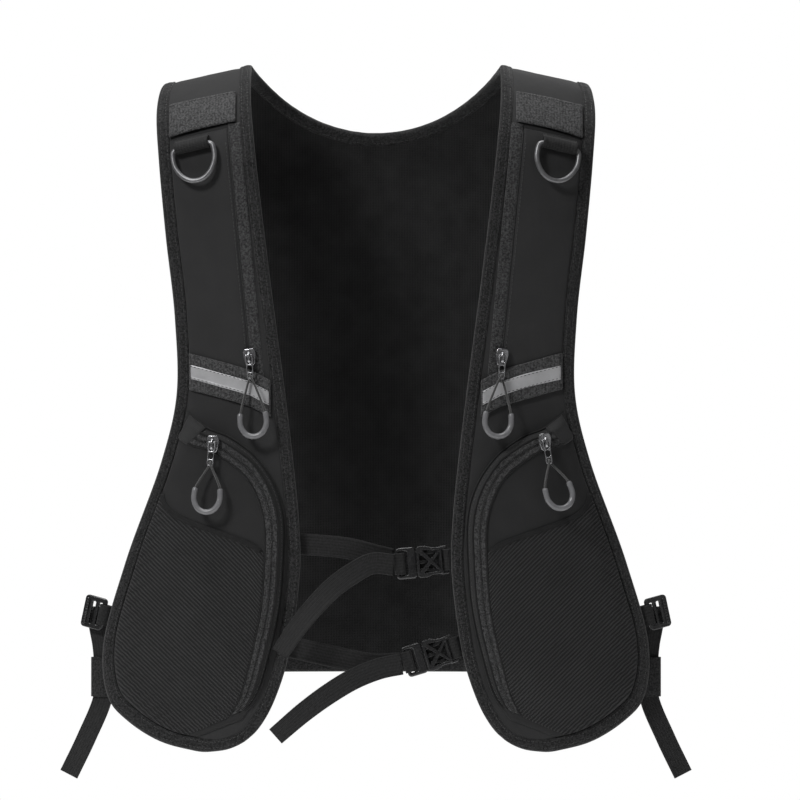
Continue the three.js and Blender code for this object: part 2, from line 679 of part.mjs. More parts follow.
function buildSide(side, parent, slack) {
  const put = (name, geometry, finishName) => piece(`${side}_${name}`, geometry, finishName, parent);
  const panelInset = bindingWidth + seamGap;
  put("front_shell", frontSheet(panelInset, layer.shell, 4), "shellFabric");
  put("front_lining", frontSheet(panelInset, layer.lining, 2), "spacerMesh");
  put("front_binding", frontBinding(), "binding");
  const outside = (z) => bindingLineAt(z) - seamGap;
  const besideZip = (z) => zipLine(z) + 0.5;
  const strapPocket = patch([-47, -55], [-232, -222], [besideZip, outside], layer.overlay, 3, 15);
  put("strap_pocket", strapPocket, "shellFabric");
  put("strap_zip_tape", patch([-43, -44], [-233, -232],
    [(z) => zipLine(z) - strapZip.tapeWidth, (z) => zipLine(z) - 0.5], layer.overlay, 1, 15), "zipTape");
  put("reflective_webbing", band([74, -236], [131, -217], webbing.wide, layer.webbing, 4), "webbing");
  put("reflective_tape", band([75, -235.6], [130, -217.4], 10, layer.tape, 4), "reflective");
  put("pocket_body", pocketBody(), "shellFabric");
  put("pocket_zip_tape", pocketZipTape(), "zipTape");
  put("mesh_pocket", meshPocket(), "mesh");
  put("d_ring_band", band([99, -31.5], [145.5, -41.5], webbing.wide, layer.webbing, 4), "webbing");

  const ringGroup = clothFrame(ringHang.x, ringHang.z, ringHang.lift, 0.17);
  parent.add(ringGroup);
  piece(`${side}_d_ring`, dRing(), "metal", ringGroup);
  piece(`${side}_d_ring_loop`, webbingLoop(webbing.wide, ringWire + 0.6, 6.4), "webbing", ringGroup);

  const strapLean = Math.atan2(strapZip.bottom[0] - strapZip.top[0], strapZip.top[1] - strapZip.bottom[1]);
  const strapGroup = clothFrame(zipLine(-207), -207, 5.2, -strapLean);
  parent.add(strapGroup);
  zipPull(side, "strap", strapGroup, { reach: 45, lean: 0.12 });

  const at = slack.pocketSlider;
  const place = new THREE.Vector3(
    pocketZip.centre[0] + pocketZip.radius * Math.cos(at),
    0,
    pocketZip.centre[1] + pocketZip.radius * Math.sin(at),
  );
  const pocketGroup = clothFrame(place.x, place.z, 14.5, slack.pocketTurn);
  parent.add(pocketGroup);
  zipPull(side, "pocket", pocketGroup, { reach: 37, lean: 0.16, swing: slack.pocketSwing });

  const lockGroup = clothFrame(sideLock.x, sideLock.z, sideLock.lift, sideLock.tilt - Math.PI / 2);
  parent.add(lockGroup);
  piece(`${side}_ladder_lock`, ladderLock(), "plastic", lockGroup);
  piece(`${side}_ladder_loop`, webbingLoop(14.6, 2.4, 10), "webbing", lockGroup);
  const keeperGroup = clothFrame(keeper.x, keeper.z, keeper.lift);
  parent.add(keeperGroup);
  piece(`${side}_keeper`, keeperTube(), "binding", keeperGroup);
  put("side_strap", sideStrap(), "webbing");
}

const leftSide = new THREE.Group(); // the wearer's right, at the viewer's left
leftSide.scale.x = -1;
const rightSide = new THREE.Group();
root.add(leftSide, rightSide);
buildSide("right", leftSide, { pocketSlider: 1.942, pocketTurn: -0.05, pocketSwing: 0 });
buildSide("left", rightSide, { pocketSlider: 1.869, pocketTurn: -0.12, pocketSwing: -0.15 });
Object.entries(chest).forEach(([level, parts]) => buildChest(level, parts));
piece("back_shell", backSheet(layer.shell), "shellFabric");
piece("back_lining", backSheet(layer.backLining), "spacerMesh");
piece("back_edge_binding", backEdgeBinding(), "binding");
piece("back_neck_binding", backNeckBinding(), "binding");

export default root;
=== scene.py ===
import bpy, bmesh, math
import numpy as np
from mathutils import Matrix, Vector


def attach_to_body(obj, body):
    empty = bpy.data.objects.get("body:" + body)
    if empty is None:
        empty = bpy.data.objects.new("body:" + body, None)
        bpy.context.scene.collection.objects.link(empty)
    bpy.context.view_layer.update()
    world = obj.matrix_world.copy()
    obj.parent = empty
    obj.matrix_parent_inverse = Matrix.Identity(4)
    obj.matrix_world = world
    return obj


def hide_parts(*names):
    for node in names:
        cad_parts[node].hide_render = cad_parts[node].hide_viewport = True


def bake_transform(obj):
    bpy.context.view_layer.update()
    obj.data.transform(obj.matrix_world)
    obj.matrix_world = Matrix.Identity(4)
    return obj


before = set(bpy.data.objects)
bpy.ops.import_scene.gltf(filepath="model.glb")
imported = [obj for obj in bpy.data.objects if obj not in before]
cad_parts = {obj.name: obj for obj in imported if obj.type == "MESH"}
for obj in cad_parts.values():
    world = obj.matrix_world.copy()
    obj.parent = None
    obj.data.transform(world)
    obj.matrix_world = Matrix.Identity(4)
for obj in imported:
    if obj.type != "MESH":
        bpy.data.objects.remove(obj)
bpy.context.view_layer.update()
mm = 0.001  # everything below is in millimetres until a mesh is made
sides = {"left": 1, "right": -1}  # the wearer's left is at +X

# how the vest is cut, as (x, z) seen from the front; each front panel is drawn on the wearer's left
front = {"sign": -1, "depth": 80, "flatten": 0.0011}
back = {"sign": 1, "depth": 80, "flatten": 0.0009}
vestCut = {
    "neckHalfWidth": 88, "shoulderSlope": 0.22, "bindingWidth": 8.5,
    "outerEdge": [(151.5, -14), (155, -33), (153, -68), (148, -122), (141.5, -180), (140.5, -235),
                  (151, -280), (177, -352), (193, -412), (189, -448), (176, -463), (151, -478), (122, -485)],
    "centreEdge": [(88, 0), (88, -25), (85, -60), (74, -153), (62, -245), (54, -320), (53, -355), (61, -416),
                   (68, -440), (77, -460), (89, -475), (104, -483)],
    "backSide": [(151.5, -14), (150, -60), (144, -120), (138, -180), (135, -235), (136, -300), (134, -350),
                 (132, -434)],
    "backHem": -434, "backCorner": 34,
}
layers = {"lining": (-3, -1.6), "backLining": (-3.8, -2.7), "shell": (0.4, 1.7), "overlay": (2.0, 2.9),
          "webbing": (3.4, 4.6), "tape": (4.75, 5.2)}  # heights over the mean surface of the cloth


def shoulderDrop(x):
    return vestCut["shoulderSlope"] * np.maximum(0, np.abs(x) - vestCut["neckHalfWidth"])


def halfDepth(x, face):
    return face["depth"] - face["flatten"] * np.square(x)


def clothPoint(x, s, lift=0.0, face=front):  # x across, s down the cloth from the shoulder seam, lift off it
    x, s, lift = np.broadcast_arrays(np.asarray(x, float), np.asarray(s, float), np.asarray(lift, float))
    radius = halfDepth(x, face)
    turn = np.minimum(s / radius, math.pi / 2)
    straight = np.maximum(0, s - radius * math.pi / 2)
    out = radius + lift
    return np.stack([x, face["sign"] * out * np.sin(turn),
                     -shoulderDrop(x) - radius + out * np.cos(turn) - straight], -1)


def clothLength(x, z, face=front):
    radius = halfDepth(np.asarray(x, float), face)
    drop = np.maximum(0, -np.asarray(z, float) - shoulderDrop(x))
    arch = radius * np.arccos(np.clip(1 - drop / radius, -1, 1))
    return np.where(drop < radius, arch, radius * math.pi / 2 + drop - radius)


def clothFrame(x, z, lift, turn=0.0):  # X across the cloth, Z up it, -Y away from it
    s = float(clothLength(x, z))
    aside = Vector(clothPoint(x + 1, s, lift) - clothPoint(x - 1, s, lift))
    up = Vector(clothPoint(x, s - 1, lift) - clothPoint(x, s + 1, lift)).normalized()
    inward = up.cross(aside).normalized()
    place = Matrix((inward.cross(up), inward, up)).transposed().to_4x4()
    place.translation = Vector(clothPoint(x, s, lift))
    return place @ Matrix.Rotation(turn, 4, "Y")


def mix(a, b, t):
    return a + (b - a) * t


def ease(t):
    t = np.clip(t, 0, 1)
    return t * t * (3 - 2 * t)


def ripple(u, v, seed, size, waves=7):  # gentle unevenness between -1 and 1, the same each run
    dice = np.random.default_rng(seed)
    total = 0
    for _ in range(waves):
        angle, phase = dice.uniform(0, 2 * math.pi, 2)
        reach = size * dice.uniform(0.6, 1.7)
        total = total + np.sin(2 * math.pi * (u * math.cos(angle) + v * math.sin(angle)) / reach + phase)
    return total / waves * 1.6


# lines
def smoothLine(points, dense=20, closed=False):  # a centripetal spline through the points, as a fine polyline
    p = np.asarray(points, float)
    p = np.vstack([p[-1], p, p[0], p[1]]) if closed else np.vstack([2 * p[0] - p[1], p, 2 * p[-1] - p[-2]])
    out = []
    for k in range(len(p) - 3):
        a, b, c, d = p[k:k + 4]
        t = np.cumsum([0] + [max(1e-4, np.linalg.norm(r - q)) ** 0.5 for q, r in ((a, b), (b, c), (c, d))])
        u = np.linspace(t[1], t[2], dense, endpoint=False)[:, None]
        ab = a * (t[1] - u) / (t[1] - t[0]) + b * (u - t[0]) / (t[1] - t[0])
        bc = b * (t[2] - u) / (t[2] - t[1]) + c * (u - t[1]) / (t[2] - t[1])
        cd = c * (t[3] - u) / (t[3] - t[2]) + d * (u - t[2]) / (t[3] - t[2])
        abc = ab * (t[2] - u) / (t[2] - t[0]) + bc * (u - t[0]) / (t[2] - t[0])
        bcd = bc * (t[3] - u) / (t[3] - t[1]) + cd * (u - t[1]) / (t[3] - t[1])
        out.append(abc * (t[2] - u) / (t[2] - t[1]) + bcd * (u - t[1]) / (t[2] - t[1]))
    return np.vstack(out + ([] if closed else [p[-2:-1]]))


def gone(line):  # how far along a polyline each of its points is
    return np.concatenate([[0], np.cumsum(np.linalg.norm(np.diff(line, axis=0), axis=1))])


def alongLine(line, share):  # points at shares of a polyline's length
    at = np.asarray(share, float) * gone(line)[-1]
    return np.stack([np.interp(at, gone(line), line[:, k]) for k in range(line.shape[1])], -1)


def evenly(line, step):
    return alongLine(line, np.linspace(0, 1, max(2, int(round(gone(line)[-1] / step)) + 1)))


def onCloth(points, face=front):
    p = np.asarray(points, float)
    return smoothLine(np.stack([p[:, 0], clothLength(p[:, 0], p[:, 1], face)], -1))


# meshes
def inScene(name, data):
    piece = bpy.data.objects.new(name, data)
    bpy.context.scene.collection.objects.link(piece)
    return piece


def asEvaluated(piece):
    return bpy.data.meshes.new_from_object(piece.evaluated_get(bpy.context.evaluated_depsgraph_get()))


def makeMesh(name, points, faces, uv, material):  # a closed body; its uv is in millimetres here
    mesh = bpy.data.meshes.new(name)
    mesh.from_pydata((np.asarray(points, float) * mm).tolist(), [], [[int(i) for i in f] for f in faces])
    corner = np.empty(len(mesh.loops), int)
    mesh.loops.foreach_get("vertex_index", corner)
    mesh.uv_layers.new(name="cloth").data.foreach_set("uv", (np.asarray(uv, float)[corner] * mm).ravel())
    work = bmesh.new()
    work.from_mesh(mesh)
    bmesh.ops.recalc_face_normals(work, faces=work.faces)
    for face in work.faces:
        face.smooth = True
    work.to_mesh(mesh)
    work.free()
    mesh.materials.append(material)
    return inScene(name, mesh)


def slabParts(outer, inner, uv):  # a closed sheet with a rounded rim between two grids of points
    rows, cols = outer.shape[:2]
    count = rows * cols
    index = np.arange(count).reshape(rows, cols)
    quads = np.stack([index[:-1, :-1], index[:-1, 1:], index[1:, 1:], index[1:, :-1]], -1).reshape(-1, 4)
    loop = np.concatenate([index[0, :-1], index[:-1, -1], index[-1, :0:-1], index[:0:-1, 0]])
    within = np.concatenate([index[1, :-1], index[:-1, -2], index[-2, :0:-1], index[:0:-1, 1]])
    flatOuter, flatInner, flatUv = outer.reshape(-1, 3), inner.reshape(-1, 3), np.asarray(uv).reshape(-1, 2)
    middle = (flatOuter + flatInner) / 2
    outward = middle[loop] - middle[within]
    outward /= np.maximum(1e-6, np.linalg.norm(outward, axis=1, keepdims=True))
    thick = np.linalg.norm(flatOuter[loop] - flatInner[loop], axis=1, keepdims=True)
    k = np.arange(len(loop))
    n = np.roll(k, -1)
    edge = [np.stack([loop[k], 2 * count + k, 2 * count + n, loop[n]], -1),
            np.stack([2 * count + k, count + loop[k], count + loop[n], 2 * count + n], -1)]
    points = np.concatenate([flatOuter, flatInner, middle[loop] + outward * thick * 0.35])
    return points, np.concatenate([quads, quads[:, ::-1] + count, *edge]).tolist(), \
        np.concatenate([flatUv, flatUv, flatUv[loop]])


def slab(name, outer, inner, uv, material):
    return makeMesh(name, *slabParts(outer, inner, uv), material)


def clothSlab(name, x, s, lift, thick, material, face=front, side=1):  # a slab given on the cloth
    outer = clothPoint(x, s, lift, face) * [side, 1, 1]
    inner = clothPoint(x, s, lift - thick, face) * [side, 1, 1]
    return slab(name, outer, inner, np.stack([x, s], -1), material)


def sweep(line, section, closed=False, hint=(0, 1, 0), across=None, scale=None):
    # a closed section (side, over) carried along a line: points, faces and uv
    line, section = np.asarray(line, float), np.asarray(section, float)
    along = np.roll(line, -1, 0) - np.roll(line, 1, 0) if closed else np.gradient(line, axis=0)
    along /= np.linalg.norm(along, axis=1, keepdims=True)
    side = np.empty_like(line)
    held = np.asarray(hint, float)
    for k, t in enumerate(along):
        held = held if across is None else np.asarray(across if np.ndim(across) == 1 else across[k], float)
        held = held - t * np.dot(held, t)
        held /= np.linalg.norm(held)
        side[k] = held
    over = np.cross(along, side)
    if closed and across is None:  # share out the twist that is left at the join
        left = math.atan2(np.dot(side[-1], over[0]), np.dot(side[-1], side[0]))
        turn = (-left * np.arange(len(line)) / (len(line) - 1))[:, None]
        side, over = side * np.cos(turn) + over * np.sin(turn), over * np.cos(turn) - side * np.sin(turn)
    scale = np.ones(len(line)) if scale is None else np.asarray(scale)
    points = line[:, None] + (side[:, None] * section[None, :, :1] + over[:, None] * section[None, :, 1:]) \
        * scale[:, None, None]
    return loft(points, closed, gone(line))


def loft(points, closed, along):  # rings of points joined into a tube, capped where it is open
    rows, cols = points.shape[:2]
    index = np.arange(rows * cols).reshape(rows, cols)
    here, below = (index, np.roll(index, -1, 0)) if closed else (index[:-1], index[1:])
    faces = np.stack([here, np.roll(here, -1, 1), np.roll(below, -1, 1), below], -1).reshape(-1, 4).tolist()
    if not closed:
        faces += [index[0].tolist(), index[-1].tolist()]
    girth = gone(points[rows // 2])
    uv = np.stack(np.broadcast_arrays(girth[None, :], np.asarray(along)[:, None]), -1)
    return points.reshape(-1, 3), faces, uv.reshape(-1, 2)


def circle(radius, count=12):
    turn = np.linspace(0, 2 * math.pi, count, endpoint=False)
    return np.stack([radius * np.cos(turn), radius * np.sin(turn)], -1)


def ribbonSection(width, thick):  # webbing: flat, with a soft round selvedge
    half, t = width / 2, thick / 2
    top = [(-half + 0.12, t * 0.6), (-half + 0.5, t), (-half + 1.3, t), (-half + 1.7, t * 0.8),
           (-half * 0.5, t * 0.86), (0, t * 0.9), (half * 0.5, t * 0.86),
           (half - 1.7, t * 0.8), (half - 1.3, t), (half - 0.5, t), (half - 0.12, t * 0.6)]
    return [(half, 0)] + [(x, -y) for x, y in reversed(top)] + [(-half, 0)] + top


def ribbon(line, width, thick, across):
    return sweep(line, ribbonSection(width, thick), across=across)


def placed(part, place):  # a part moved by a matrix
    points, faces, uv = part
    turned = np.asarray(points) @ np.array(place.to_3x3()).T + np.array(place.translation)
    return turned, faces, uv


mirrorX = Matrix.Scale(-1, 4, (1, 0, 0))


def ownSide(side, place=None):  # a part made for the wearer's left, mirrored for the right
    place = Matrix.Identity(4) if place is None else place
    return place if sides[side] > 0 else mirrorX @ place


def joinParts(name, parts, material, place=None):
    points, faces, uv, base = [], [], [], 0
    for part in parts:
        p, f, w = part if place is None else placed(part, place)
        points.append(p)
        faces += [[i + base for i in face] for face in f]
        uv.append(w)
        base += len(p)
    return makeMesh(name, np.concatenate(points), faces, np.concatenate(uv), material)


def roundedBox(x, z, width, height, radius=1.0, steps=4):
    a, b = width / 2, height / 2
    r = min(radius, a - 1e-3, b - 1e-3)
    out = []
    for cx, cz, start in ((a - r, b - r, 0), (r - a, b - r, 90), (r - a, r - b, 180), (a - r, r - b, 270)):
        for k in range(steps + 1):
            turn = math.radians(start + 90 * k / steps)
            out.append((x + cx + r * math.cos(turn), z + cz + r * math.sin(turn)))
    return out


def plate(outline, holes, thick, bevel=0.35, rounds=2, y=0.0):  # a plate in the XZ plane with rounded edges
    curve = bpy.data.curves.new("plate", "CURVE")
    curve.dimensions = "2D"
    curve.fill_mode = "BOTH"
    for loop in [outline, *holes]:
        spline = curve.splines.new("POLY")
        spline.points.add(len(loop) - 1)
        for point, (x, z) in zip(spline.points, loop):
            point.co = (x, z, 0, 1)
        spline.use_cyclic_u = True
    curve.extrude, curve.bevel_depth = thick / 2 - bevel, bevel
    curve.bevel_resolution, curve.offset = rounds, -bevel
    holder = inScene("plate", curve)
    mesh = asEvaluated(holder)
    work = bmesh.new()
    work.from_mesh(mesh)
    bmesh.ops.remove_doubles(work, verts=work.verts, dist=1e-3)
    points = np.array([(v.co.x, v.co.z + y, v.co.y) for v in work.verts])
    faces = [[v.index for v in face.verts] for face in work.faces]
    work.free()
    bpy.data.objects.remove(holder)
    bpy.data.meshes.remove(mesh)
    bpy.data.curves.remove(curve)
    return points, faces, points[:, [0, 2]]


hardEdge, sleeveEdge = 32, 50  # angles over which an edge stays sharp


def crisp(piece, degrees):
    piece.data.set_sharp_from_angle(angle=math.radians(degrees))


def attach(piece, body, slot, *nodes):
    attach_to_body(piece, body)
    if nodes:
        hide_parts(*nodes)
    return piece


def fitted(name, parts, look, body, slot, *nodes, place=None, sharp=None):  # parts as one attached piece
    piece = joinParts(name, parts, looks[look], place)
    if sharp:
        crisp(piece, sharp)
    return attach(piece, body, slot, *nodes)


# materials
finishes = {  # colour as linear light, pitch and patch in millimetres, grain as the weave's share
    "smoothFabric": dict(colour=0.03, rough=0.82, weave="plain", pitch=0.55, relief=0.35, sheen=0.18,
                         mottle=0.05, patch=26, grain=0.4),
    "spacerMesh": dict(colour=0.012, rough=0.95, weave="airMesh", pitch=1.9, relief=0.9, sheen=0.12,
                       mottle=0.2, patch=14, grain=0.7),
    "bindingTape": dict(colour=0.019, rough=0.95, weave="rib", pitch=0.8, relief=0.7, sheen=0.3, mottle=0.8,
                        patch=1.2, grain=0.3),
    "bandWebbing": dict(colour=0.05, rough=0.8, weave="grosgrain", pitch=1.0, relief=0.9, sheen=0.2,
                        mottle=0.6, patch=1.3, grain=0.4),
    # the shell's own fabric in a darker copy for the lower pocket's body: painted shade, since that part of
    # the front is lit less
    "shadedPocketFabric": dict(colour=0.021, rough=0.8, weave="plain", pitch=0.55, relief=0.35, sheen=0.15,
                         mottle=0.06, patch=22, grain=0.4),
    "webbing": dict(colour=0.013, rough=0.75, weave="grosgrain", pitch=1.0, relief=1.0, sheen=0.12,
                    mottle=0.25, patch=1.4, grain=0.6),
    "pocketMesh": dict(colour=0.03, rough=0.88, weave="diagonal", pitch=2.3, relief=1.6, sheen=0.12,
                       mottle=0.12, patch=24, grain=2.0),
    "zipTape": dict(colour=0.04, rough=0.9, weave="herringbone", pitch=1.1, relief=0.8, sheen=0.3,
                    mottle=0.7, patch=1.3, grain=0.3),
    "piping": dict(colour=0.01, rough=0.8, weave="rib", pitch=0.7, relief=0.5, sheen=0.1, mottle=0.2,
                   patch=3, grain=0.4),
}


def link(tree, a, b):
    tree.links.new(a, b)


def math2(tree, operation, a, b=None, c=None):
    node = tree.nodes.new("ShaderNodeMath")
    node.operation = operation
    for socket, value in zip(node.inputs, (a, b, c)):
        if value is None:
            continue
        if isinstance(value, (int, float)):
            socket.default_value = value
        else:
            link(tree, value, socket)
    return node.outputs[0]


def stripes(tree, coordinate, pitch):  # 0 to 1 and back once for each pitch, in millimetres
    return math2(tree, "MULTIPLY_ADD", math2(tree, "SINE", math2(tree, "MULTIPLY", coordinate,
                                                                    2 * math.pi / (pitch * mm))), 0.5, 0.5)


def weaveHeight(tree, kind, pitch, u, v):
    if kind == "plain":
        return math2(tree, "MULTIPLY", stripes(tree, u, pitch), stripes(tree, v, pitch))
    if kind == "rib":
        return stripes(tree, v, pitch)
    if kind == "grosgrain":  # fine ribs across, with lengthwise cords
        return math2(tree, "ADD", math2(tree, "MULTIPLY", stripes(tree, v, pitch), 0.7),
                     math2(tree, "MULTIPLY", stripes(tree, u, pitch * 2.1), 0.5))
    if kind == "diagonal":
        slant = math2(tree, "ADD", u, math2(tree, "MULTIPLY", v, 0.75))
        other = math2(tree, "SUBTRACT", u, math2(tree, "MULTIPLY", v, 1.6))
        return math2(tree, "MULTIPLY", stripes(tree, slant, pitch),
                     math2(tree, "MULTIPLY_ADD", stripes(tree, other, pitch * 0.8), 0.65, 0.35))
    if kind == "herringbone":
        fold = math2(tree, "PINGPONG", u, pitch * 2 * mm)
        return stripes(tree, math2(tree, "ADD", fold, v), pitch)
    rows = stripes(tree, v, pitch)  # air mesh: small round holes between ribs
    return math2(tree, "MAXIMUM", math2(tree, "MULTIPLY", rows, 0.8), stripes(tree, u, pitch))


def shader(name):  # a material, its nodes and the object's own coordinates
    material = bpy.data.materials.new(name)
    material.use_nodes = True
    tree = material.node_tree
    place = tree.nodes.new("ShaderNodeTexCoord").outputs["Object"]
    return material, tree, tree.nodes["Principled BSDF"], place


def noise(tree, coordinates, size, detail=3.0):  # size in millimetres
    node = tree.nodes.new("ShaderNodeTexNoise")
    node.inputs["Scale"].default_value = 1 / (size * mm)
    node.inputs["Detail"].default_value = detail
    link(tree, coordinates, node.inputs["Vector"])
    return node.outputs["Fac"]


def shade(tree, bsdf, colour, factor, low, high):  # the colour between two shares of itself
    ramp = tree.nodes.new("ShaderNodeMix")
    ramp.data_type = "RGBA"
    ramp.inputs["A"].default_value = (*[c * low for c in colour], 1)
    ramp.inputs["B"].default_value = (*[c * high for c in colour], 1)
    link(tree, factor, ramp.inputs["Factor"])
    link(tree, ramp.outputs["Result"], bsdf.inputs["Base Color"])


def bump(tree, bsdf, height, depth, strength=1.0, under=None):
    node = tree.nodes.new("ShaderNodeBump")
    node.inputs["Distance"].default_value = depth * mm
    node.inputs["Strength"].default_value = strength
    link(tree, height, node.inputs["Height"])
    if under:
        link(tree, under, node.inputs["Normal"])
    link(tree, node.outputs["Normal"], bsdf.inputs["Normal"])
    return node.outputs["Normal"]


def fabric(name, colour, rough, weave, pitch, relief, sheen, mottle, patch, grain):
    material, tree, bsdf, place = shader(name)
    uv = tree.nodes.new("ShaderNodeUVMap")
    uv.uv_map = "cloth"
    split = tree.nodes.new("ShaderNodeSeparateXYZ")
    link(tree, uv.outputs["UV"], split.inputs[0])
    yarn = weaveHeight(tree, weave, pitch, split.outputs["X"], split.outputs["Y"])
    fuzz = noise(tree, place, 0.5, 2)
    blotch = noise(tree, place, patch, 4)
    tone = math2(tree, "ADD", math2(tree, "MULTIPLY", math2(tree, "SUBTRACT", blotch, 0.5), 5 * mottle),
                 math2(tree, "MULTIPLY", yarn, grain))
    tone = math2(tree, "ADD", tone, 0.28 - grain / 2)
    tone = math2(tree, "ADD", tone, math2(tree, "MULTIPLY", fuzz, 0.3))
    shade(tree, bsdf, (colour, colour, colour * 1.02), tone, 0.35, 1.75)
    height = math2(tree, "ADD", yarn, math2(tree, "MULTIPLY", fuzz, 0.5))
    height = math2(tree, "MULTIPLY_ADD", blotch, 4 * mottle, height)
    bump(tree, bsdf, height, pitch * 0.16, relief)
    bsdf.inputs["Roughness"].default_value = rough
    bsdf.inputs["Specular IOR Level"].default_value = 0.25
    bsdf.inputs["Sheen Weight"].default_value = sheen
    bsdf.inputs["Sheen Roughness"].default_value = 0.45
    bsdf.inputs["Sheen Tint"].default_value = (0.5, 0.5, 0.5, 1)
    return material


looks = {name: fabric(name, **values) for name, values in finishes.items()}


def reflectiveFilm():  # glass beads under a clear film, with a fine pressed grid
    material, tree, bsdf, place = shader("reflectiveFilm")
    grain = noise(tree, place, 0.6, 2)
    worn = noise(tree, place, 9, 4)
    tone = math2(tree, "MULTIPLY_ADD", worn, 0.9, math2(tree, "MULTIPLY", grain, 0.3))
    shade(tree, bsdf, (0.42, 0.42, 0.43), tone, 0.72, 1.15)
    bump(tree, bsdf, math2(tree, "ADD", grain, math2(tree, "MULTIPLY", worn, 2)), 0.12, 0.5)
    bsdf.inputs["Metallic"].default_value = 0.25
    bsdf.inputs["Roughness"].default_value = 0.4
    return material


def metal(name, colour, rough, metallic, scratch=0.2):
    material, tree, bsdf, place = shader(name)
    wear = noise(tree, place, 2.5, 5)
    fine = noise(tree, place, 0.25, 2)
    shade(tree, bsdf, (colour, colour, colour * 1.03), wear, 0.65, 1.4)
    link(tree, math2(tree, "MULTIPLY_ADD", wear, scratch, rough - scratch / 2), bsdf.inputs["Roughness"])
    bump(tree, bsdf, fine, 0.03, 0.4)
    bsdf.inputs["Metallic"].default_value = metallic
    return material


def plastic(name, colour, rough, grain=0.05, specular=0.5):
    material, tree, bsdf, place = shader(name)
    cloud = noise(tree, place, 4, 4)
    fine = noise(tree, place, 0.35, 2)
    shade(tree, bsdf, (colour, colour, colour * 1.04), cloud, 0.8, 1.25)
    link(tree, math2(tree, "MULTIPLY_ADD", cloud, 0.2, rough - 0.1), bsdf.inputs["Roughness"])
    bump(tree, bsdf, fine, grain, 0.5)
    bsdf.inputs["Specular IOR Level"].default_value = specular
    return material


def thread(name, colour):
    material, tree, bsdf, place = shader(name)
    twist = noise(tree, place, 0.45, 2)
    shade(tree, bsdf, (colour,) * 3, twist, 0.6, 1.5)
    bump(tree, bsdf, twist, 0.08, 0.6)
    bsdf.inputs["Roughness"].default_value = 0.7
    bsdf.inputs["Sheen Weight"].default_value = 0.4
    return material


looks["reflectiveFilm"] = reflectiveFilm()
looks["ringMetal"] = metal("ringMetal", 0.17, 0.4, 0.6)
looks["zipMetal"] = metal("zipMetal", 0.32, 0.24, 0.9)
looks["acetal"] = plastic("acetal", 0.014, 0.26)
looks["pullSleeve"] = plastic("pullSleeve", 0.15, 0.24, 0.03)
looks["thread"] = thread("thread", 0.006)
# the coil's own near-black, darkened further so the hidden strap coil fills the strap zip's gap as painted
# shade
looks["coilAndGapShade"] = plastic("coilAndGapShade", 0.006, 0.38)
looks["cord"] = thread("cord", 0.03)
print("materials are ready")

# geometry nodes
stitchSizes = {"pitch": 2.9, "length": 2.1, "width": 0.55, "height": 0.3}
coilSizes = {"pitch": 1.15, "length": 0.75, "width": 3.6, "height": 0.9}
# the hidden strap coil, widened to fill the gap beside the pocket edge, where its dark colour is painted
# shade
hiddenCoilGapShadeSizes = {"pitch": 1.0, "length": 0.9, "width": 1.7, "height": 0.6}


def treeInput(tree, name, kind, value):
    socket = tree.interface.new_socket(name, in_out="INPUT", socket_type=kind)
    if value is not None:
        socket.default_value = value
    return socket.identifier


def rowTree():  # small round-ended pieces set along every line, turned to it and to its up direction
    tree = bpy.data.node_groups.new("piecesAlongLines", "GeometryNodeTree")
    names = {"geometry": treeInput(tree, "Lines", "NodeSocketGeometry", None)}
    for name in ("Pitch", "Length", "Width", "Height"):
        names[name] = treeInput(tree, name, "NodeSocketFloat", 0.001)
    names["Material"] = treeInput(tree, "Material", "NodeSocketMaterial", None)
    tree.interface.new_socket("Geometry", in_out="OUTPUT", socket_type="NodeSocketGeometry")
    start, end = tree.nodes.new("NodeGroupInput"), tree.nodes.new("NodeGroupOutput")

    def node(kind, **settings):
        made = tree.nodes.new(kind)
        for key, value in settings.items():
            setattr(made, key, value)
        return made
    curve = node("GeometryNodeMeshToCurve")
    spread = node("GeometryNodeResampleCurve", mode="LENGTH")
    bead = node("GeometryNodeMeshUVSphere")
    bead.inputs["Segments"].default_value, bead.inputs["Rings"].default_value = 6, 4
    bead.inputs["Radius"].default_value = 0.5
    size = node("ShaderNodeCombineXYZ")
    shape = node("GeometryNodeTransform")
    tangent = node("GeometryNodeInputTangent")
    up = node("GeometryNodeInputNamedAttribute", data_type="FLOAT_VECTOR")
    up.inputs["Name"].default_value = "up"
    turnAlong = node("FunctionNodeAlignRotationToVector", axis="X")
    turnUp = node("FunctionNodeAlignRotationToVector", axis="Z", pivot_axis="X")
    place = node("GeometryNodeInstanceOnPoints")
    real, paint = node("GeometryNodeRealizeInstances"), node("GeometryNodeSetMaterial")
    pairs = [(start.outputs["Lines"], curve.inputs[0]), (curve.outputs[0], spread.inputs["Curve"]),
             (start.outputs["Pitch"], spread.inputs["Length"]), (start.outputs["Length"], size.inputs["X"]),
             (start.outputs["Width"], size.inputs["Y"]), (start.outputs["Height"], size.inputs["Z"]),
             (bead.outputs["Mesh"], shape.inputs["Geometry"]), (size.outputs[0], shape.inputs["Scale"]),
             (tangent.outputs[0], turnAlong.inputs["Vector"]),
             (turnAlong.outputs[0], turnUp.inputs["Rotation"]), (up.outputs[0], turnUp.inputs["Vector"]),
             (spread.outputs[0], place.inputs["Points"]), (shape.outputs[0], place.inputs["Instance"]),
             (turnUp.outputs[0], place.inputs["Rotation"]), (place.outputs[0], real.inputs[0]),
             (real.outputs[0], paint.inputs["Geometry"]), (start.outputs["Material"],
                                                           paint.inputs["Material"]),
             (paint.outputs[0], end.inputs[0])]
    for a, b in pairs:
        link(tree, a, b)
    return tree, names


alongLines, alongInputs = rowTree()


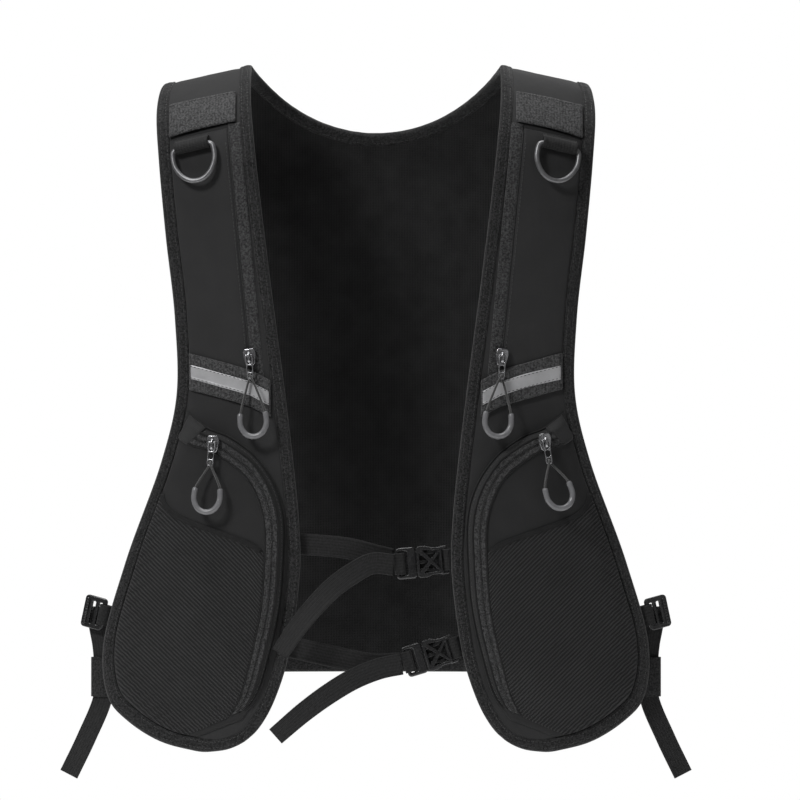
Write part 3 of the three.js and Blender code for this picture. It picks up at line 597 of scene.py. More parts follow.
def rowOfPieces(name, lines, sizes, material):  # lines are (points, ups) in millimetres
    points = np.concatenate([p for p, _ in lines])
    ups = np.concatenate([u for _, u in lines])
    edges, base = [], 0
    for p, _ in lines:
        edges += [(base + k, base + k + 1) for k in range(len(p) - 1)]
        base += len(p)
    mesh = bpy.data.meshes.new(name)
    mesh.from_pydata((points * mm).tolist(), edges, [])
    mesh.attributes.new("up", "FLOAT_VECTOR", "POINT").data.foreach_set("vector",
                                                                        ups.astype(np.float32).ravel())
    guide = inScene(name + "Guide", mesh)
    modifier = guide.modifiers.new("rows", "NODES")
    modifier.node_group = alongLines
    modifier[alongInputs["Material"]] = material
    for key, value in sizes.items():
        modifier[alongInputs[key.capitalize()]] = value * mm
    guide.update_tag()
    bpy.context.view_layer.update()
    made = asEvaluated(guide)
    bpy.data.objects.remove(guide)
    bpy.data.meshes.remove(mesh)
    made.name = name
    for polygon in made.polygons:
        polygon.use_smooth = True
    made.materials.clear()
    made.materials.append(material)
    return inScene(name, made)


def clothLine(x, s, lift, face=front, side=1):  # a stitch line on the cloth and the directions away from it
    here = clothPoint(x, s, lift, face)
    away = clothPoint(x, s, np.asarray(lift) + 1, face) - here
    return here * [side, 1, 1], away * [side, 1, 1]


stitches = {"left": [], "right": [], "middle": []}

# camera, floor and light
studio = {"camera": (0.017, -4.5, -0.237), "lens": 284, "floor": -0.62, "floorSize": 1.5,
          "world": 0.1, "key": 46, "top": 30, "fill": 2.0, "rim": 8}


def areaLight(name, at, target, size, power):
    lamp = bpy.data.lights.new(name, "AREA")
    lamp.shape, lamp.size, lamp.energy = "DISK", size, power
    holder = inScene(name, lamp)
    holder.location = at
    holder.rotation_euler = (Vector(target) - Vector(at)).to_track_quat("-Z", "Y").to_euler()


def makeStudio():
    lens = bpy.data.cameras.new("camera")
    lens.lens, lens.sensor_width = studio["lens"], 36
    camera = inScene("camera", lens)
    camera.location = studio["camera"]
    camera.rotation_euler = (math.pi / 2, 0, 0)
    bpy.context.scene.camera = camera
    half = studio["floorSize"] / 2
    floorMesh = bpy.data.meshes.new("floor")
    floorMesh.from_pydata([(x, y, studio["floor"]) for x, y in ((-half, -half), (half, -half), (half, half),
                                                                 (-half, half))], [], [(0, 1, 2, 3)])
    floor = inScene("floor", floorMesh)
    material, _, bsdf, _ = shader("floorPaint")
    bsdf.inputs["Base Color"].default_value = (0.9, 0.9, 0.9, 1)
    bsdf.inputs["Roughness"].default_value = 0.9
    bsdf.inputs["Emission Color"].default_value = (1, 1, 1, 1)
    bsdf.inputs["Emission Strength"].default_value = 0.5
    floorMesh.materials.append(material)
    middle = (0, 0, -0.25)
    areaLight("keyLight", (-1.5, -1.9, 1.5), middle, 0.7, studio["key"])
    areaLight("topLight", (-0.2, -0.1, 1.7), middle, 1.2, studio["top"])
    areaLight("fillLight", (1.7, -1.9, 0.1), middle, 1.6, studio["fill"])
    areaLight("rimLight", (0.6, 1.8, 0.7), middle, 1.4, studio["rim"])
    world = bpy.data.worlds.new("studio")
    bpy.context.scene.world = world
    world.use_nodes = True
    sky = world.node_tree
    rays = sky.nodes.new("ShaderNodeLightPath")
    strength = sky.nodes.new("ShaderNodeMix")
    strength.inputs["A"].default_value, strength.inputs["B"].default_value = studio["world"], 1.0
    link(sky, rays.outputs["Is Camera Ray"], strength.inputs["Factor"])
    link(sky, strength.outputs["Result"], sky.nodes["Background"].inputs["Strength"])
    sky.nodes["Background"].inputs["Color"].default_value = (1, 1, 1, 1)
    bpy.context.scene.view_settings.view_transform = "Standard"


makeStudio()
print("studio is ready")

def gridArea(points):
    corner = points[:-1, :-1]
    cells = np.linalg.norm(np.cross(points[1:, :-1] - corner, points[:-1, 1:] - corner), axis=-1)
    return float(cells.sum()) * mm * mm


# webbing that hangs free: routes in millimetres, the same as the plain strips they stand for
straps = {"width": 15, "thick": 1.3, "foldThick": 1.1}
sideRound = [(112, 63.4, -398), (128, 58, -398), (150, 48, -397), (176, 26, -395), (196, 0, -392),
             (201, -18, -391), (199, -26, -391)]
sideTail = [(198, -24.4, -385), (197, -26, -395), (194.3, -29, -409), (193.2, -30.3, -420),
            (193, -30.4, -433),
            (193.6, -30.4, -448), (205, -30.6, -476), (217.5, -31, -502)]
chest = {
    "upper": {
        "at": (32.5, -72, -350.5), "tilt": 0.087,
        "strap": [(-68, -69.8, -336.5), (-50, -70.2, -338.2), (-20, -71, -341), (0, -71, -346),
                  (11, -70, -348.6)],
        "tail": [(12.4, -78.6, -352.4), (-2, -81, -351.4), (-14, -83.6, -357), (-29, -87, -367.5),
                 (-42, -89.8, -380.5),
                 (-54, -92.2, -395), (-67, -94, -414)],
    },
    "lower": {
        "at": (38, -72, -416), "tilt": 0.29,
        "strap": [(-72, -69.8, -407), (-57, -70.2, -411), (-30, -71, -417), (0, -71, -422.5),
                  (17.4, -70, -421.6)],
        "tail": [(18, -78.6, -422), (3, -81, -425), (-15, -83.6, -432), (-32, -86.8, -442),
                 (-50, -89.4, -455),
                 (-70, -91.6, -472)],
    },
}


tailEndAcross = (-0.3, 0.5, 0.8)  # a strap's end has turned partly edge on


def makeChestTails():
    for level, parts in chest.items():
        line = evenly(smoothLine(parts["tail"]), 1.0)
        across = mix(np.array((0, 0, 1.0)), np.array(tailEndAcross), np.linspace(0, 1, len(line))[:, None])
        piece = fitted(f"{level}_chest_tail_webbing", [ribbon(line, straps["width"], straps["thick"],
                                                              across)],
                       "webbing", f"{level}_chest_plug", "webbing", f"{level}_chest_tail")


def makeSideStraps():
    for side, sign in sides.items():
        flip = np.array([sign, 1, 1])
        roundLine = evenly(smoothLine(sideRound), 1.0) * flip
        tailLine = evenly(smoothLine(sideTail), 1.0) * flip
        tailAcross = np.array((0.92 * sign, 0.39, 0))
        # over the ladder lock's middle bar the strap turns from lying on its edge to facing front
        body = [ribbon(roundLine, straps["width"], straps["thick"], (0, 0, 1)),
                ribbon(tailLine, straps["width"], straps["thick"], tailAcross)]
        piece = fitted(f"{side}_side_strap_webbing", body, "webbing", "vest", "webbing", f"{side}_side_strap")


makeChestTails()
makeSideStraps()
print("free webbing is ready")

# front panels: an outline down the outer edge and back up the centre edge, in cloth coordinates
panel = {"rows": 190, "spread": 1.2, "sweepFrom": 445, "sweep": 15, "inset": 8.3}
outerRoute, centreRoute = onCloth(vestCut["outerEdge"]), onCloth(vestCut["centreEdge"])
rowShares = np.linspace(0, 1, panel["rows"]) ** panel["spread"]
frontEdge = np.vstack([alongLine(outerRoute, rowShares), alongLine(centreRoute, rowShares[::-1])])
edgeWay = np.gradient(frontEdge, axis=0)
edgeInward = np.stack([-edgeWay[:, 1], edgeWay[:, 0]], -1)
edgeInward[0], edgeInward[-1] = (-1, 0), (1, 0)
edgeInward /= np.linalg.norm(edgeInward, axis=1, keepdims=True)


def insetEdge(inset):
    moved = frontEdge + edgeInward * inset
    moved[:, 1] = np.maximum(moved[:, 1], 0)
    return moved


def seamDip(away, depth=0.5, reach=4.0):  # cloth that is drawn down beside a seam
    return -depth * np.exp(-np.square(np.asarray(away) / reach))


def frontGrid(inset, columns):
    edge = insetEdge(inset)
    outer, centre = edge[:panel["rows"]], edge[panel["rows"]:][::-1]
    u = np.linspace(0, 1, columns)[None, :, None]
    grid = mix(centre[:, None], outer[:, None], u)
    width = np.linalg.norm(outer - centre, axis=1)[:, None]
    away = np.minimum(u[..., 0], 1 - u[..., 0]) * width
    return grid[..., 0], grid[..., 1], away


def panelSheet(name, side, seed, level, material, columns, inset):
    x, s, away = frontGrid(inset, columns)
    low, high = layers[level]
    soft = ripple(x, s, seed, 26) * 0.16 + ripple(x, s, seed + 1, 8) * 0.06
    sign = 1 if level == "shell" else -1
    atSeam = np.minimum(away, np.minimum(s, 40) * 0.8)
    lift = (high if sign > 0 else low) + sign * (soft + seamDip(atSeam, 0.45, 3.5))
    thick = (high - low) * sign * 0.9
    outer = clothPoint(x, s, lift) * [sides[side], 1, 1]
    inner = clothPoint(x, s, lift - thick) * [sides[side], 1, 1]
    piece = slab(name, outer, inner, np.stack([x, s], -1), material)
    return piece, gridArea(outer)


bindingProfile = [(8.6, 1.3), (8.3, 1.95), (7.2, 2.2), (6.6, 2.0), (6.1, 2.2), (4.5, 2.4), (3.1, 2.3),
                  (2.6, 2.1),
                  (2.1, 2.25), (1.1, 1.85), (0.3, 0.9), (0, -0.6), (0.35, -2.3), (1.5, -3.4), (4, -3.7),
                  (7, -3.55),
                  (8.5, -3.2), (8.6, -2.2)]  # across from the edge, and height
bindingStitches = ((6.6, 2.05), (2.6, 2.15), (6.4, -3.55))


def bindingAlong(name, edge, inward, material, face=front, side=1, width=1.0, seed=3, wave=0.16,
                 closed=False):
    run = gone(np.asarray(edge))
    across = np.array([p[0] for p in bindingProfile]) * width
    lift = np.array([p[1] for p in bindingProfile])
    fine, broad = ripple(run, run * 0, seed, 7), ripple(run, run * 0, seed + 5, 23)
    pucker = fine[:, None] * wave + broad[:, None] * wave
    bulge = np.where((across > 2.4) & (across < 8) & (lift > 0), 1.0, 0.35)[None, :]
    at = np.asarray(edge)[:, None] + np.asarray(inward)[:, None] * across[None, :, None]
    s = np.maximum(at[..., 1], 0)
    points = clothPoint(at[..., 0], s, lift[None, :] + pucker * bulge, face) * [side, 1, 1]
    part = loft(points, closed, run)
    return makeMesh(name, *part, material)


def denseEdge(step=1.6):  # the same outline in short even steps
    run = gone(frontEdge)
    at = np.linspace(0, run[-1], int(run[-1] / step))
    edge = np.stack([np.interp(at, run, frontEdge[:, k]) for k in (0, 1)], -1)
    inward = np.stack([np.interp(at, run, edgeInward[:, k]) for k in (0, 1)], -1)
    smoothing = np.hanning(9) / np.hanning(9).sum()
    for k in (0, 1):
        padded = np.pad(inward[:, k], 4, mode="edge")
        inward[:, k] = np.convolve(padded, smoothing, "valid")
    # the bottom of the outline runs in one round sweep
    low = ease((edge[:, 1] - panel["sweepFrom"]) / 30)[:, None]
    window = np.hanning(panel["sweep"]) / np.hanning(panel["sweep"]).sum()
    padded = np.pad(edge, ((panel["sweep"] // 2,) * 2, (0, 0)), mode="edge")
    swept = np.stack([np.convolve(padded[:, k], window, "valid") for k in (0, 1)], -1)
    return mix(edge, swept, low), inward / np.linalg.norm(inward, axis=1, keepdims=True)


frontOutline = denseEdge()
outerX = insetEdge(vestCut["bindingWidth"] + 0.2)[:panel["rows"]]
outerZ = clothPoint(outerX[:, 0], outerX[:, 1])[:, 2]


def bindingLineAt(z):  # the binding's inner line at a height
    return np.interp(-np.asarray(z), -outerZ, outerX[:, 0])


def stitchAlongBinding(edge, inward, across, lift, face=front, side=1):
    at = edge + inward * across
    return clothLine(at[:, 0], np.maximum(at[:, 1], 0), lift, face, side)


def makeFrontPanels():
    for side, sign in sides.items():
        shell, _ = panelSheet(f"{side}_front_shell_fabric", side, 11 + sign, "shell", looks["smoothFabric"],
                              46,
                              panel["inset"])
        attach(shell, "vest", "shell_fabric", f"{side}_front_shell")
        lining, area = panelSheet(f"{side}_front_lining_mesh", side, 21 + sign, "lining",
                                  looks["spacerMesh"], 30,
                                  panel["inset"])
        attach(lining, "vest", "spacer_mesh", f"{side}_front_lining")
        edge, inward = frontOutline
        tape = bindingAlong(f"{side}_front_binding_tape", edge, inward, looks["bindingTape"], side=sign,
                            seed=31 + sign)
        attach(tape, "vest", "binding_tape", f"{side}_front_binding")
        for across, lift in bindingStitches:
            stitches[side].append(stitchAlongBinding(edge[2:-2], inward[2:-2], across, lift, side=sign))


makeFrontPanels()
print("front panels are ready")

# strap pocket, its zip, the reflective band and the band that holds the D-ring
strapZip = {"top": (104, -45), "bottom": (87.5, -216), "tape": 8.5, "tapeTop": (-43, -44),
            "tapeBottom": (-233, -232),
            "coilEnds": (-50, -228), "stitchEnds": (-58, -226), "slider": -207}
strapPocket = {"top": (-47, -55), "bottom": (-232, -222), "puff": 0.45}
bands = {
    "reflective_webbing": {"from": (74, -236), "to": (131, -217), "width": 25, "layer": "webbing"},
    "reflective_tape": {"from": (75, -235.6), "to": (130, -217.4), "width": 9.6, "layer": "tape"},
    "d_ring_band": {"from": (99, -31.5), "to": (145.5, -41.5), "width": 25, "layer": "webbing"},
}


def zipLine(z):
    (x0, z0), (x1, z1) = strapZip["top"], strapZip["bottom"]
    return mix(x0, x1, (np.asarray(z) - z0) / (z1 - z0))


def patchGrid(top, bottom, leftAt, rightAt, columns, rows, swell, seed, base):
    u, v = np.meshgrid(np.linspace(0, 1, columns), np.linspace(0, 1, rows))
    z = mix(mix(top[0], top[1], u), mix(bottom[0], bottom[1], u), v)
    x = mix(leftAt(z), rightAt(z), u)
    s = clothLength(x, z)
    width, height = rightAt(z) - leftAt(z), abs(top[0] - bottom[0])
    away = np.minimum(np.minimum(u, 1 - u) * width, np.minimum(v, 1 - v) * height)
    lift = base + swell * (1 - np.exp(-away / 7)) - 0.35 * np.exp(-away / 1.2)
    lift = lift + ripple(x, s, seed, 22) * 0.14 * ease(away / 6) + ripple(x, s, seed + 3, 6) * 0.05
    return x, s, lift


def makeBand(name, side, look, slot):  # its far end dives under the edge binding, the near one is turned in
    band = bands[name]
    (x0, z0), (x1, z1) = band["from"], band["to"]
    low, high = layers[band["layer"]]
    v, u = np.meshgrid(np.linspace(-0.5, 0.5, 24), np.linspace(0, 1, 60), indexing="ij")
    x = mix(x0, x1, u)
    seed = 41 + 7 * len(name) + sides[side]
    bend = ripple(x, v * 0, seed, 40) * 0.35
    s = mix(clothLength(x0, z0), clothLength(x1, z1), u) + v * band["width"] + bend
    selvedge = 0.22 * np.exp(-np.square((np.abs(v) * band["width"] - band["width"] / 2 + 0.8) / 0.5))
    turnedIn = 0.35 * ease((np.abs(u - 0.5) - 0.46) / 0.04)
    lift = high - 0.2 + selvedge + ripple(x, s, seed + 1, 18) * 0.12 - turnedIn
    piece = clothSlab(f"{side}_{name}_strip", x, s, lift, (high - low) * 0.8, looks[look], side=sides[side])
    attach(piece, "vest", slot, f"{side}_{name}")
    for edge in (-0.5, 0.5):
        inset = (0.5 - (1.5 if name != "reflective_tape" else 0.7) / band["width"]) * 2 * edge
        row = mix(clothLength(x0, z0), clothLength(x1, z1), u[0]) + inset * band["width"]
        stitches[side].append(clothLine(x[0], row, high - 0.02, side=sides[side]))


def makeStrapFront():
    for side, sign in sides.items():
        besideZip, outside = (lambda z: zipLine(z) + 0.7), (lambda z: bindingLineAt(z) - 0.25)
        x, s, lift = patchGrid(strapPocket["top"], strapPocket["bottom"], besideZip, outside, 34, 130,
                               strapPocket["puff"], 51 + sign, layers["overlay"][1] - 0.15)
        pocket = clothSlab(f"{side}_strap_pocket_fabric", x, s, lift, 0.8, looks["smoothFabric"], side=sign)
        attach(pocket, "vest", "shell_fabric", f"{side}_strap_pocket")
        area = gridArea(clothPoint(x, s, lift))
        inside = (lambda z: zipLine(z) - strapZip["tape"])
        columns = 16
        x, s, lift = patchGrid(strapZip["tapeTop"], strapZip["tapeBottom"], inside,
                               lambda z: zipLine(z) - 0.6,
                               columns, 130, 0.15, 61, layers["overlay"][1] - 0.2)
        crease = np.linspace(-1, 1, columns)[None, :] + 0.25
        lift = lift - 0.16 * np.exp(-np.square(crease / 0.2))
        tape = clothSlab(f"{side}_strap_zip_tape_weave", x, s, lift, 0.7, looks["zipTape"], side=sign)
        attach(tape, "vest", "zip_tape", f"{side}_strap_zip_tape")
        for name, look, slot in (("reflective_webbing", "bandWebbing", "webbing"),
                                 ("reflective_tape", "reflectiveFilm", "reflective_film"),
                                 ("d_ring_band", "bandWebbing", "webbing")):
            makeBand(name, side, look, slot)
        z = np.linspace(*strapZip["stitchEnds"], 120)
        for offset, lift in ((2.4, 0.16), (1.3 - strapZip["tape"], -0.1)):
            xs = zipLine(z) + offset
            stitches[side].append(clothLine(xs, clothLength(xs, z), layers["overlay"][1] + lift, side=sign))


makeStrapFront()
print("straps are ready")

# lower pocket: u runs from its curved seam to the binding, v from its top to its bottom
pocketCut = {"centre": (137.5, -328), "seamRadius": 74, "from": 1.84, "to": 3.08, "top": (132.5, -245.5),
             "foot": [(64, -350), (66.5, -381), (74, -416), (83, -445), (94, -461)],
             "gusset": 5, "band": 14, "crown": 12.5, "rows": 96, "columns": 90, "cap": 2.2, "pressure": 3.0,
             "meshInner": 0.53, "meshOuter": 0.17, "meshFoot": 0.972}
pocketZip = {"from": 5.6, "to": 13.4, "middle": 9.5, "rows": 150}  # across from the pocket's seam
zipEndPatch = {"down": (0.012, 0.082), "across": (0.6, 15.2), "length": 240}  # length in millimetres


def pocketSeam():
    turns = np.linspace(pocketCut["from"], pocketCut["to"], 7)
    cx, cz = pocketCut["centre"]
    radius = pocketCut["seamRadius"]
    arc = [(cx + radius * math.cos(t), cz + radius * math.sin(t)) for t in turns]
    return [pocketCut["top"], *arc, *pocketCut["foot"]]


pocketInner = onCloth(pocketSeam())
pocketOuter = insetEdge(vestCut["bindingWidth"] + 0.5)[:panel["rows"]]


def pocketAt(u, v):  # cloth coordinates, the distance from the seam and the width there
    inner = alongLine(pocketInner, v)
    outer = alongLine(pocketOuter, mix(0.515, 0.985, v))
    width = np.linalg.norm(inner - outer, axis=-1)
    at = mix(inner, outer, u[..., None])
    return at[..., 0], at[..., 1], u * width, width


def pocketHeight(u, v):
    x, s, deep, _ = pocketAt(u, v)
    wall = 0.62 * ease(deep / pocketCut["gusset"])
    shelf = 0.12 * np.clip((deep - pocketCut["gusset"]) / 9, 0, 1)
    crown = 0.26 * ease((deep - pocketCut["band"]) / 30)
    toBinding = np.power(np.cos(np.clip(u, 0, 1) * math.pi / 2), 0.7)
    ends = ease(v / 0.08) * ease((1 - v) / 0.25)
    return x, s, pocketCut["crown"] * (wall + shelf + crown) * toBinding * ends, deep


def pocketGrid():
    v = np.linspace(0, 1, pocketCut["rows"])[:, None] * np.ones((1, pocketCut["columns"]))
    width = pocketAt(np.zeros_like(v), v)[3]
    band = np.minimum(0.45, pocketCut["band"] / width)
    k = np.linspace(0, 1, pocketCut["columns"])[None, :]
    return np.where(k < 0.3, band * k / 0.3, mix(band, 1.0, (k - 0.3) / 0.7)), v


def puff(name, points, seam):  # cloth simulation: the pocket's face filled from behind, held at its seams
    rows, cols = points.shape[:2]
    index = np.arange(rows * cols).reshape(rows, cols)
    quads = np.stack([index[:-1, :-1], index[1:, :-1], index[1:, 1:], index[:-1, 1:]], -1).reshape(-1, 4)
    mesh = bpy.data.meshes.new(name)
    flat = points.reshape(-1, 3)
    outward = np.cross(points[rows // 2 + 1, cols // 2] - points[rows // 2, cols // 2],
                       points[rows // 2, cols // 2 + 1] - points[rows // 2, cols // 2])
    mesh.from_pydata((flat * mm).tolist(), [], (quads if outward[1] < 0 else quads[:, ::-1]).tolist())
    piece = inScene(name, mesh)
    held = piece.vertex_groups.new(name="held")
    held.add([int(i) for i in index[seam]], 1.0, "REPLACE")
    cloth = piece.modifiers.new("cloth", "CLOTH")
    cloth.settings.vertex_group_mass = "held"
    cloth.settings.use_pressure = True
    cloth.settings.uniform_pressure_force = pocketCut["pressure"]
    cloth.settings.effector_weights.gravity = 0
    cloth.settings.tension_stiffness = cloth.settings.compression_stiffness = 9
    cloth.settings.bending_stiffness = 0.4
    cloth.collision_settings.use_collision = False
    for step in range(1, 21):
        bpy.context.scene.frame_set(step)
    done = piece.evaluated_get(bpy.context.evaluated_depsgraph_get())
    moved = np.empty(len(flat) * 3)
    done.data.vertices.foreach_get("co", moved)
    bpy.context.scene.frame_set(1)
    bpy.data.objects.remove(piece)
    shift = moved.reshape(-1, 3) / mm - flat
    reach = np.linalg.norm(shift, axis=1, keepdims=True)
    shift *= np.minimum(1, pocketCut["cap"] / np.maximum(reach, 1e-6))
    return points + shift.reshape(points.shape)


def surfaceNormals(points):
    along, across = np.gradient(points, axis=0), np.gradient(points, axis=1)
    normal = np.cross(along, across)
    normal /= np.maximum(1e-9, np.linalg.norm(normal, axis=-1, keepdims=True))
    return normal * np.where(normal[..., 1:2] > 0, -1, 1)


def sampleGrid(grid, row, column):  # a grid's values between its points
    row, column = np.clip(row, 0, grid.shape[0] - 1.001), np.clip(column, 0, grid.shape[1] - 1.001)
    r, c = row.astype(int), column.astype(int)
    a, b = (row - r)[..., None], (column - c)[..., None]
    return mix(mix(grid[r, c], grid[r, c + 1], b), mix(grid[r + 1, c], grid[r + 1, c + 1], b), a)


def onPocket(face, us, u, v, height):  # a place on the finished pocket, at a height over it
    row = np.asarray(v, float) * (pocketCut["rows"] - 1)
    near = us[np.clip(np.round(row).astype(int), 0, len(us) - 1)]
    column = np.array([np.interp(a, b, np.arange(len(b))) for a, b in
                       zip(np.ravel(u), near.reshape(-1, near.shape[-1]))]).reshape(np.shape(u))
    normal = surfaceNormals(face)
    away = sampleGrid(normal, row, column)
    return sampleGrid(face, row, column) + away * np.asarray(height)[..., None], away


def makePocketZip(side, face, us, v, width):  # woven tape between two piped edges
    count = pocketZip["rows"]
    down = np.linspace(0.07, 0.965, count)
    widths = np.interp(down, v[:, 0], width)
    across = np.linspace(pocketZip["from"], pocketZip["to"], 14)
    vv, aa = np.meshgrid(down, across, indexing="ij")
    uu = aa / widths[:, None]
    crease = np.abs(aa - pocketZip["middle"])
    over = 0.75 - 0.4 * np.exp(-np.square(crease / 0.7)) + 0.1 * np.exp(-np.square((crease - 1.8) / 0.8))
    top, _ = onPocket(face, us, uu, vv, over)
    low, _ = onPocket(face, us, uu, vv, over * 0 + 0.05)
    run = gone(top[:, 7])
    uvs = np.stack(np.broadcast_arrays(aa, run[:, None]), -1)
    tape = slab(f"{side}_pocket_zip_tape_weave", top, low, uvs, looks["zipTape"])
    attach(tape, "vest", "zip_tape", f"{side}_pocket_zip_tape")
    cords = []
    for place in (pocketCut["gusset"] - 0.2, pocketCut["band"] + 0.1, 0.7):
        line, _ = onPocket(face, us, np.full(count, place) / widths, down, np.full(count, 0.35))
        cords.append(sweep(line, circle(0.75, 8)))
    fitted(f"{side}_pocket_piping", cords, "piping", "vest", "zip_tape")
    zipTeeth[side].append(onPocket(face, us, pocketZip["middle"] / widths, down, np.full(count, 0.62)))
    # a patch covers the zip's upper end
    (v0, v1), (a0, a1) = zipEndPatch["down"], zipEndPatch["across"]
    vv, aa = np.meshgrid(np.linspace(v0, v1, 26), np.linspace(a0, a1, 22), indexing="ij")
    rim = np.minimum(np.minimum(aa - a0, a1 - aa), np.minimum(vv - v0, v1 - vv) * zipEndPatch["length"])
    uu = aa / np.interp(vv, v[:, 0], width)
    top, _ = onPocket(face, us, uu, vv, 1.3 - 0.7 * np.exp(-rim / 0.8))
    low, _ = onPocket(face, us, uu, vv, aa * 0 + 0.1)
    patch = slab(f"{side}_zip_end_patch", top, low, np.stack([aa, vv * zipEndPatch["length"]], -1),
                 looks["smoothFabric"])
    attach(patch, "vest", "shell_fabric")
    stitches[side].append(onPocket(face, us, 2.4 / widths, np.linspace(0.09, 0.95, count),
                                   np.full(count, 0.12)))


def makeMeshPocket(side, face, us, v, width):  # stretch mesh over the face, bound along its top
    rows, cols = 84, 60
    q = np.linspace(0, 1, cols)[None, :]
    topLine = mix(pocketCut["meshInner"], pocketCut["meshOuter"], q)
    foot = pocketCut["meshFoot"]
    down = mix(topLine, foot, np.linspace(0, 1, rows)[:, None])
    start = (pocketCut["band"] + 1.0) / np.interp(down, v[:, 0], width)
    uu = mix(start, 0.995, q)
    edgeHere = np.minimum(np.minimum((down - topLine) * 150, (foot - down) * 150), (1 - q) * 60 + 1)
    gathers = 0.5 * np.sin(down * 190 + 3 * q) * ease((q - 0.72) / 0.2) * ease((1 - q) / 0.04)
    over = 0.75 + gathers + 0.25 * (1 - np.exp(-np.maximum(edgeHere, 0) / 8))
    top, _ = onPocket(face, us, uu, down, over)
    low, _ = onPocket(face, us, uu, down, over * 0 + 0.15)
    mx, ms, _, _ = pocketAt(uu, down)
    mesh = slab(f"{side}_mesh_pocket_fabric", top, low, np.stack([mx, ms], -1), looks["pocketMesh"])
    attach(mesh, "vest", "pocket_mesh", f"{side}_mesh_pocket")
    q = np.linspace(0.02, 0.98, 60)
    topLine = mix(pocketCut["meshInner"], pocketCut["meshOuter"], q)
    start = (pocketCut["band"] + 1) / np.interp(topLine, v[:, 0], width)
    line, _ = onPocket(face, us, mix(start, 0.99, q), topLine, np.full(60, 0.8))
    hem = sweep(line, ribbonSection(3.6, 0.7), hint=(0, 0, 1))
    fitted(f"{side}_mesh_pocket_hem", [hem], "piping", "vest", "binding_tape")


def makePockets():
    for side, sign in sides.items():
        us, v = pocketGrid()
        x, s, height, deep = pocketHeight(us, v)
        seed = 71 + sign
        soft = ripple(x, s, seed, 34) * 0.5 * ease(deep / 20) + ripple(x, s, seed + 1, 9) * 0.1
        ridge = 0.5 * np.exp(-np.square((deep - pocketCut["gusset"]) / 1.0)) \
            + 0.35 * np.exp(-np.square((deep - pocketCut["band"] + 0.3) / 1.0))
        toBinding = np.power(np.maximum(0, np.cos(us * math.pi / 2)), 0.5)
        inside = ease(v / 0.04) * ease((1 - v) / 0.06) * toBinding
        lift = layers["overlay"][1] + height + (soft + ridge) * inside
        face = clothPoint(x, s, lift) * [sign, 1, 1]
        held = np.zeros(us.shape, bool)
        held[:2], held[-2:], held[:, -2:] = True, True, True
        held |= deep < pocketCut["band"] + 0.8
        face = puff(f"{side}Puff", face, held)
        under = clothPoint(x, s, np.maximum(layers["overlay"][0], lift - 1.0)) * [sign, 1, 1]
        # the pocket's body is shell fabric in a darker copy, with painted shade in its colour
        body = slab(f"{side}_pocket_fabric", face, under, np.stack([x, s], -1), looks["shadedPocketFabric"])
        attach(body, "vest", "shell_fabric", f"{side}_pocket_body")
        width = pocketAt(np.zeros(us.shape[0]), v[:, 0])[3]
        makePocketZip(side, face, us, v, width)
        makeMeshPocket(side, face, us, v, width)


zipTeeth = {"left": [], "right": []}
makePockets()
print("pockets are ready")

# zips: coil, slider, tab and the cord loop with its moulded sleeve
pullSizes = {"barDrop": 2.6, "tab": 17, "hole": 2.6, "reach": {"strap": 45, "pocket": 37}, "half": 9.25,
             "cord": 0.8, "sleeve": 2.0, "beside": 9.5}  # beside: from the pocket's seam to its slider
zipRest = {"strapLift": 5.2, "strapLean": 0.12, "pocketLift": 14.5, "pocketLean": 0.16,
           "left": (1.869, -0.12, -0.15), "right": (1.942, -0.05, 0)}  # place on the arc, turn and swing


def zipLineOnCloth(side):
    z = np.linspace(*strapZip["coilEnds"], 150)
    x = zipLine(z)
    return clothLine(x, clothLength(x, z), layers["overlay"][1] - 0.55, side=sides[side])


def makeCoils():
    for side in sides:
        # the strap coil lies in the zip's gap as a dark strip of painted shade; the pocket coils are the
        # zip's own coil
        rows = {"strap": ([zipLineOnCloth(side)], hiddenCoilGapShadeSizes), "pocket": (zipTeeth[side], coilSizes)}
        for kind, (lines, sizes) in rows.items():
            piece = rowOfPieces(f"{side}_{kind}_zip_coil", lines, sizes, looks["coilAndGapShade"])
            attach(piece, "vest", "zip_tape")


def sliderParts():
    body = plate([(-4, 5), (-3, 6), (3, 6), (4, 5), (4.6, 2), (4.1, -1.5), (3.2, -5), (2.2, -6), (-2.2, -6),
                  (-3.2, -5), (-4.1, -1.5), (-4.6, 2)], [], 2.4, 0.55, 3)
    ridge = plate([(-0.9, 5.4), (0.9, 5.4), (0.6, 2.6), (-0.6, 2.6)], [], 0.8, 0.25, 2, y=-1.35)
    arch = smoothLine([(0, 0.2, 3.3), (0, -1.8, 3.35), (0, -3.4, 2.6), (0, -4.05, 0.8), (0, -4.0, -2.0),
                       (0, -3.3, -3.5), (0, -1.6, -3.75), (0, 0.2, -3.7)])
    section = [(x * 1.05, z * 0.62) for x, z in circle(1, 12)]
    bail = sweep(evenly(arch, 0.5), section, hint=(1, 0, 0), across=(1, 0, 0))
    return [body, ridge, bail]


def tabParts():
    length = pullSizes["tab"]
    outline = [(2.2, 0.6), (2.75, 0), (2.8, -4), (2.5, -7), (2.4, -length + 1.5), (1.6, -length),
               (-1.6, -length),
               (-2.4, -length + 1.5), (-2.5, -7), (-2.8, -4), (-2.75, 0), (-2.2, 0.6)]
    bow = roundedBox(0, -3.5, 3.2, 5.6, 1.3)[::-1]
    slot = roundedBox(0, -9.6, 3.3, 4.9, 1.5)[::-1]
    hole = roundedBox(0, pullSizes["hole"] - length, 3, 3, 1.4)[::-1]
    body = plate(outline, [bow, slot, hole], 1.2, 0.35, 3)
    return [body]


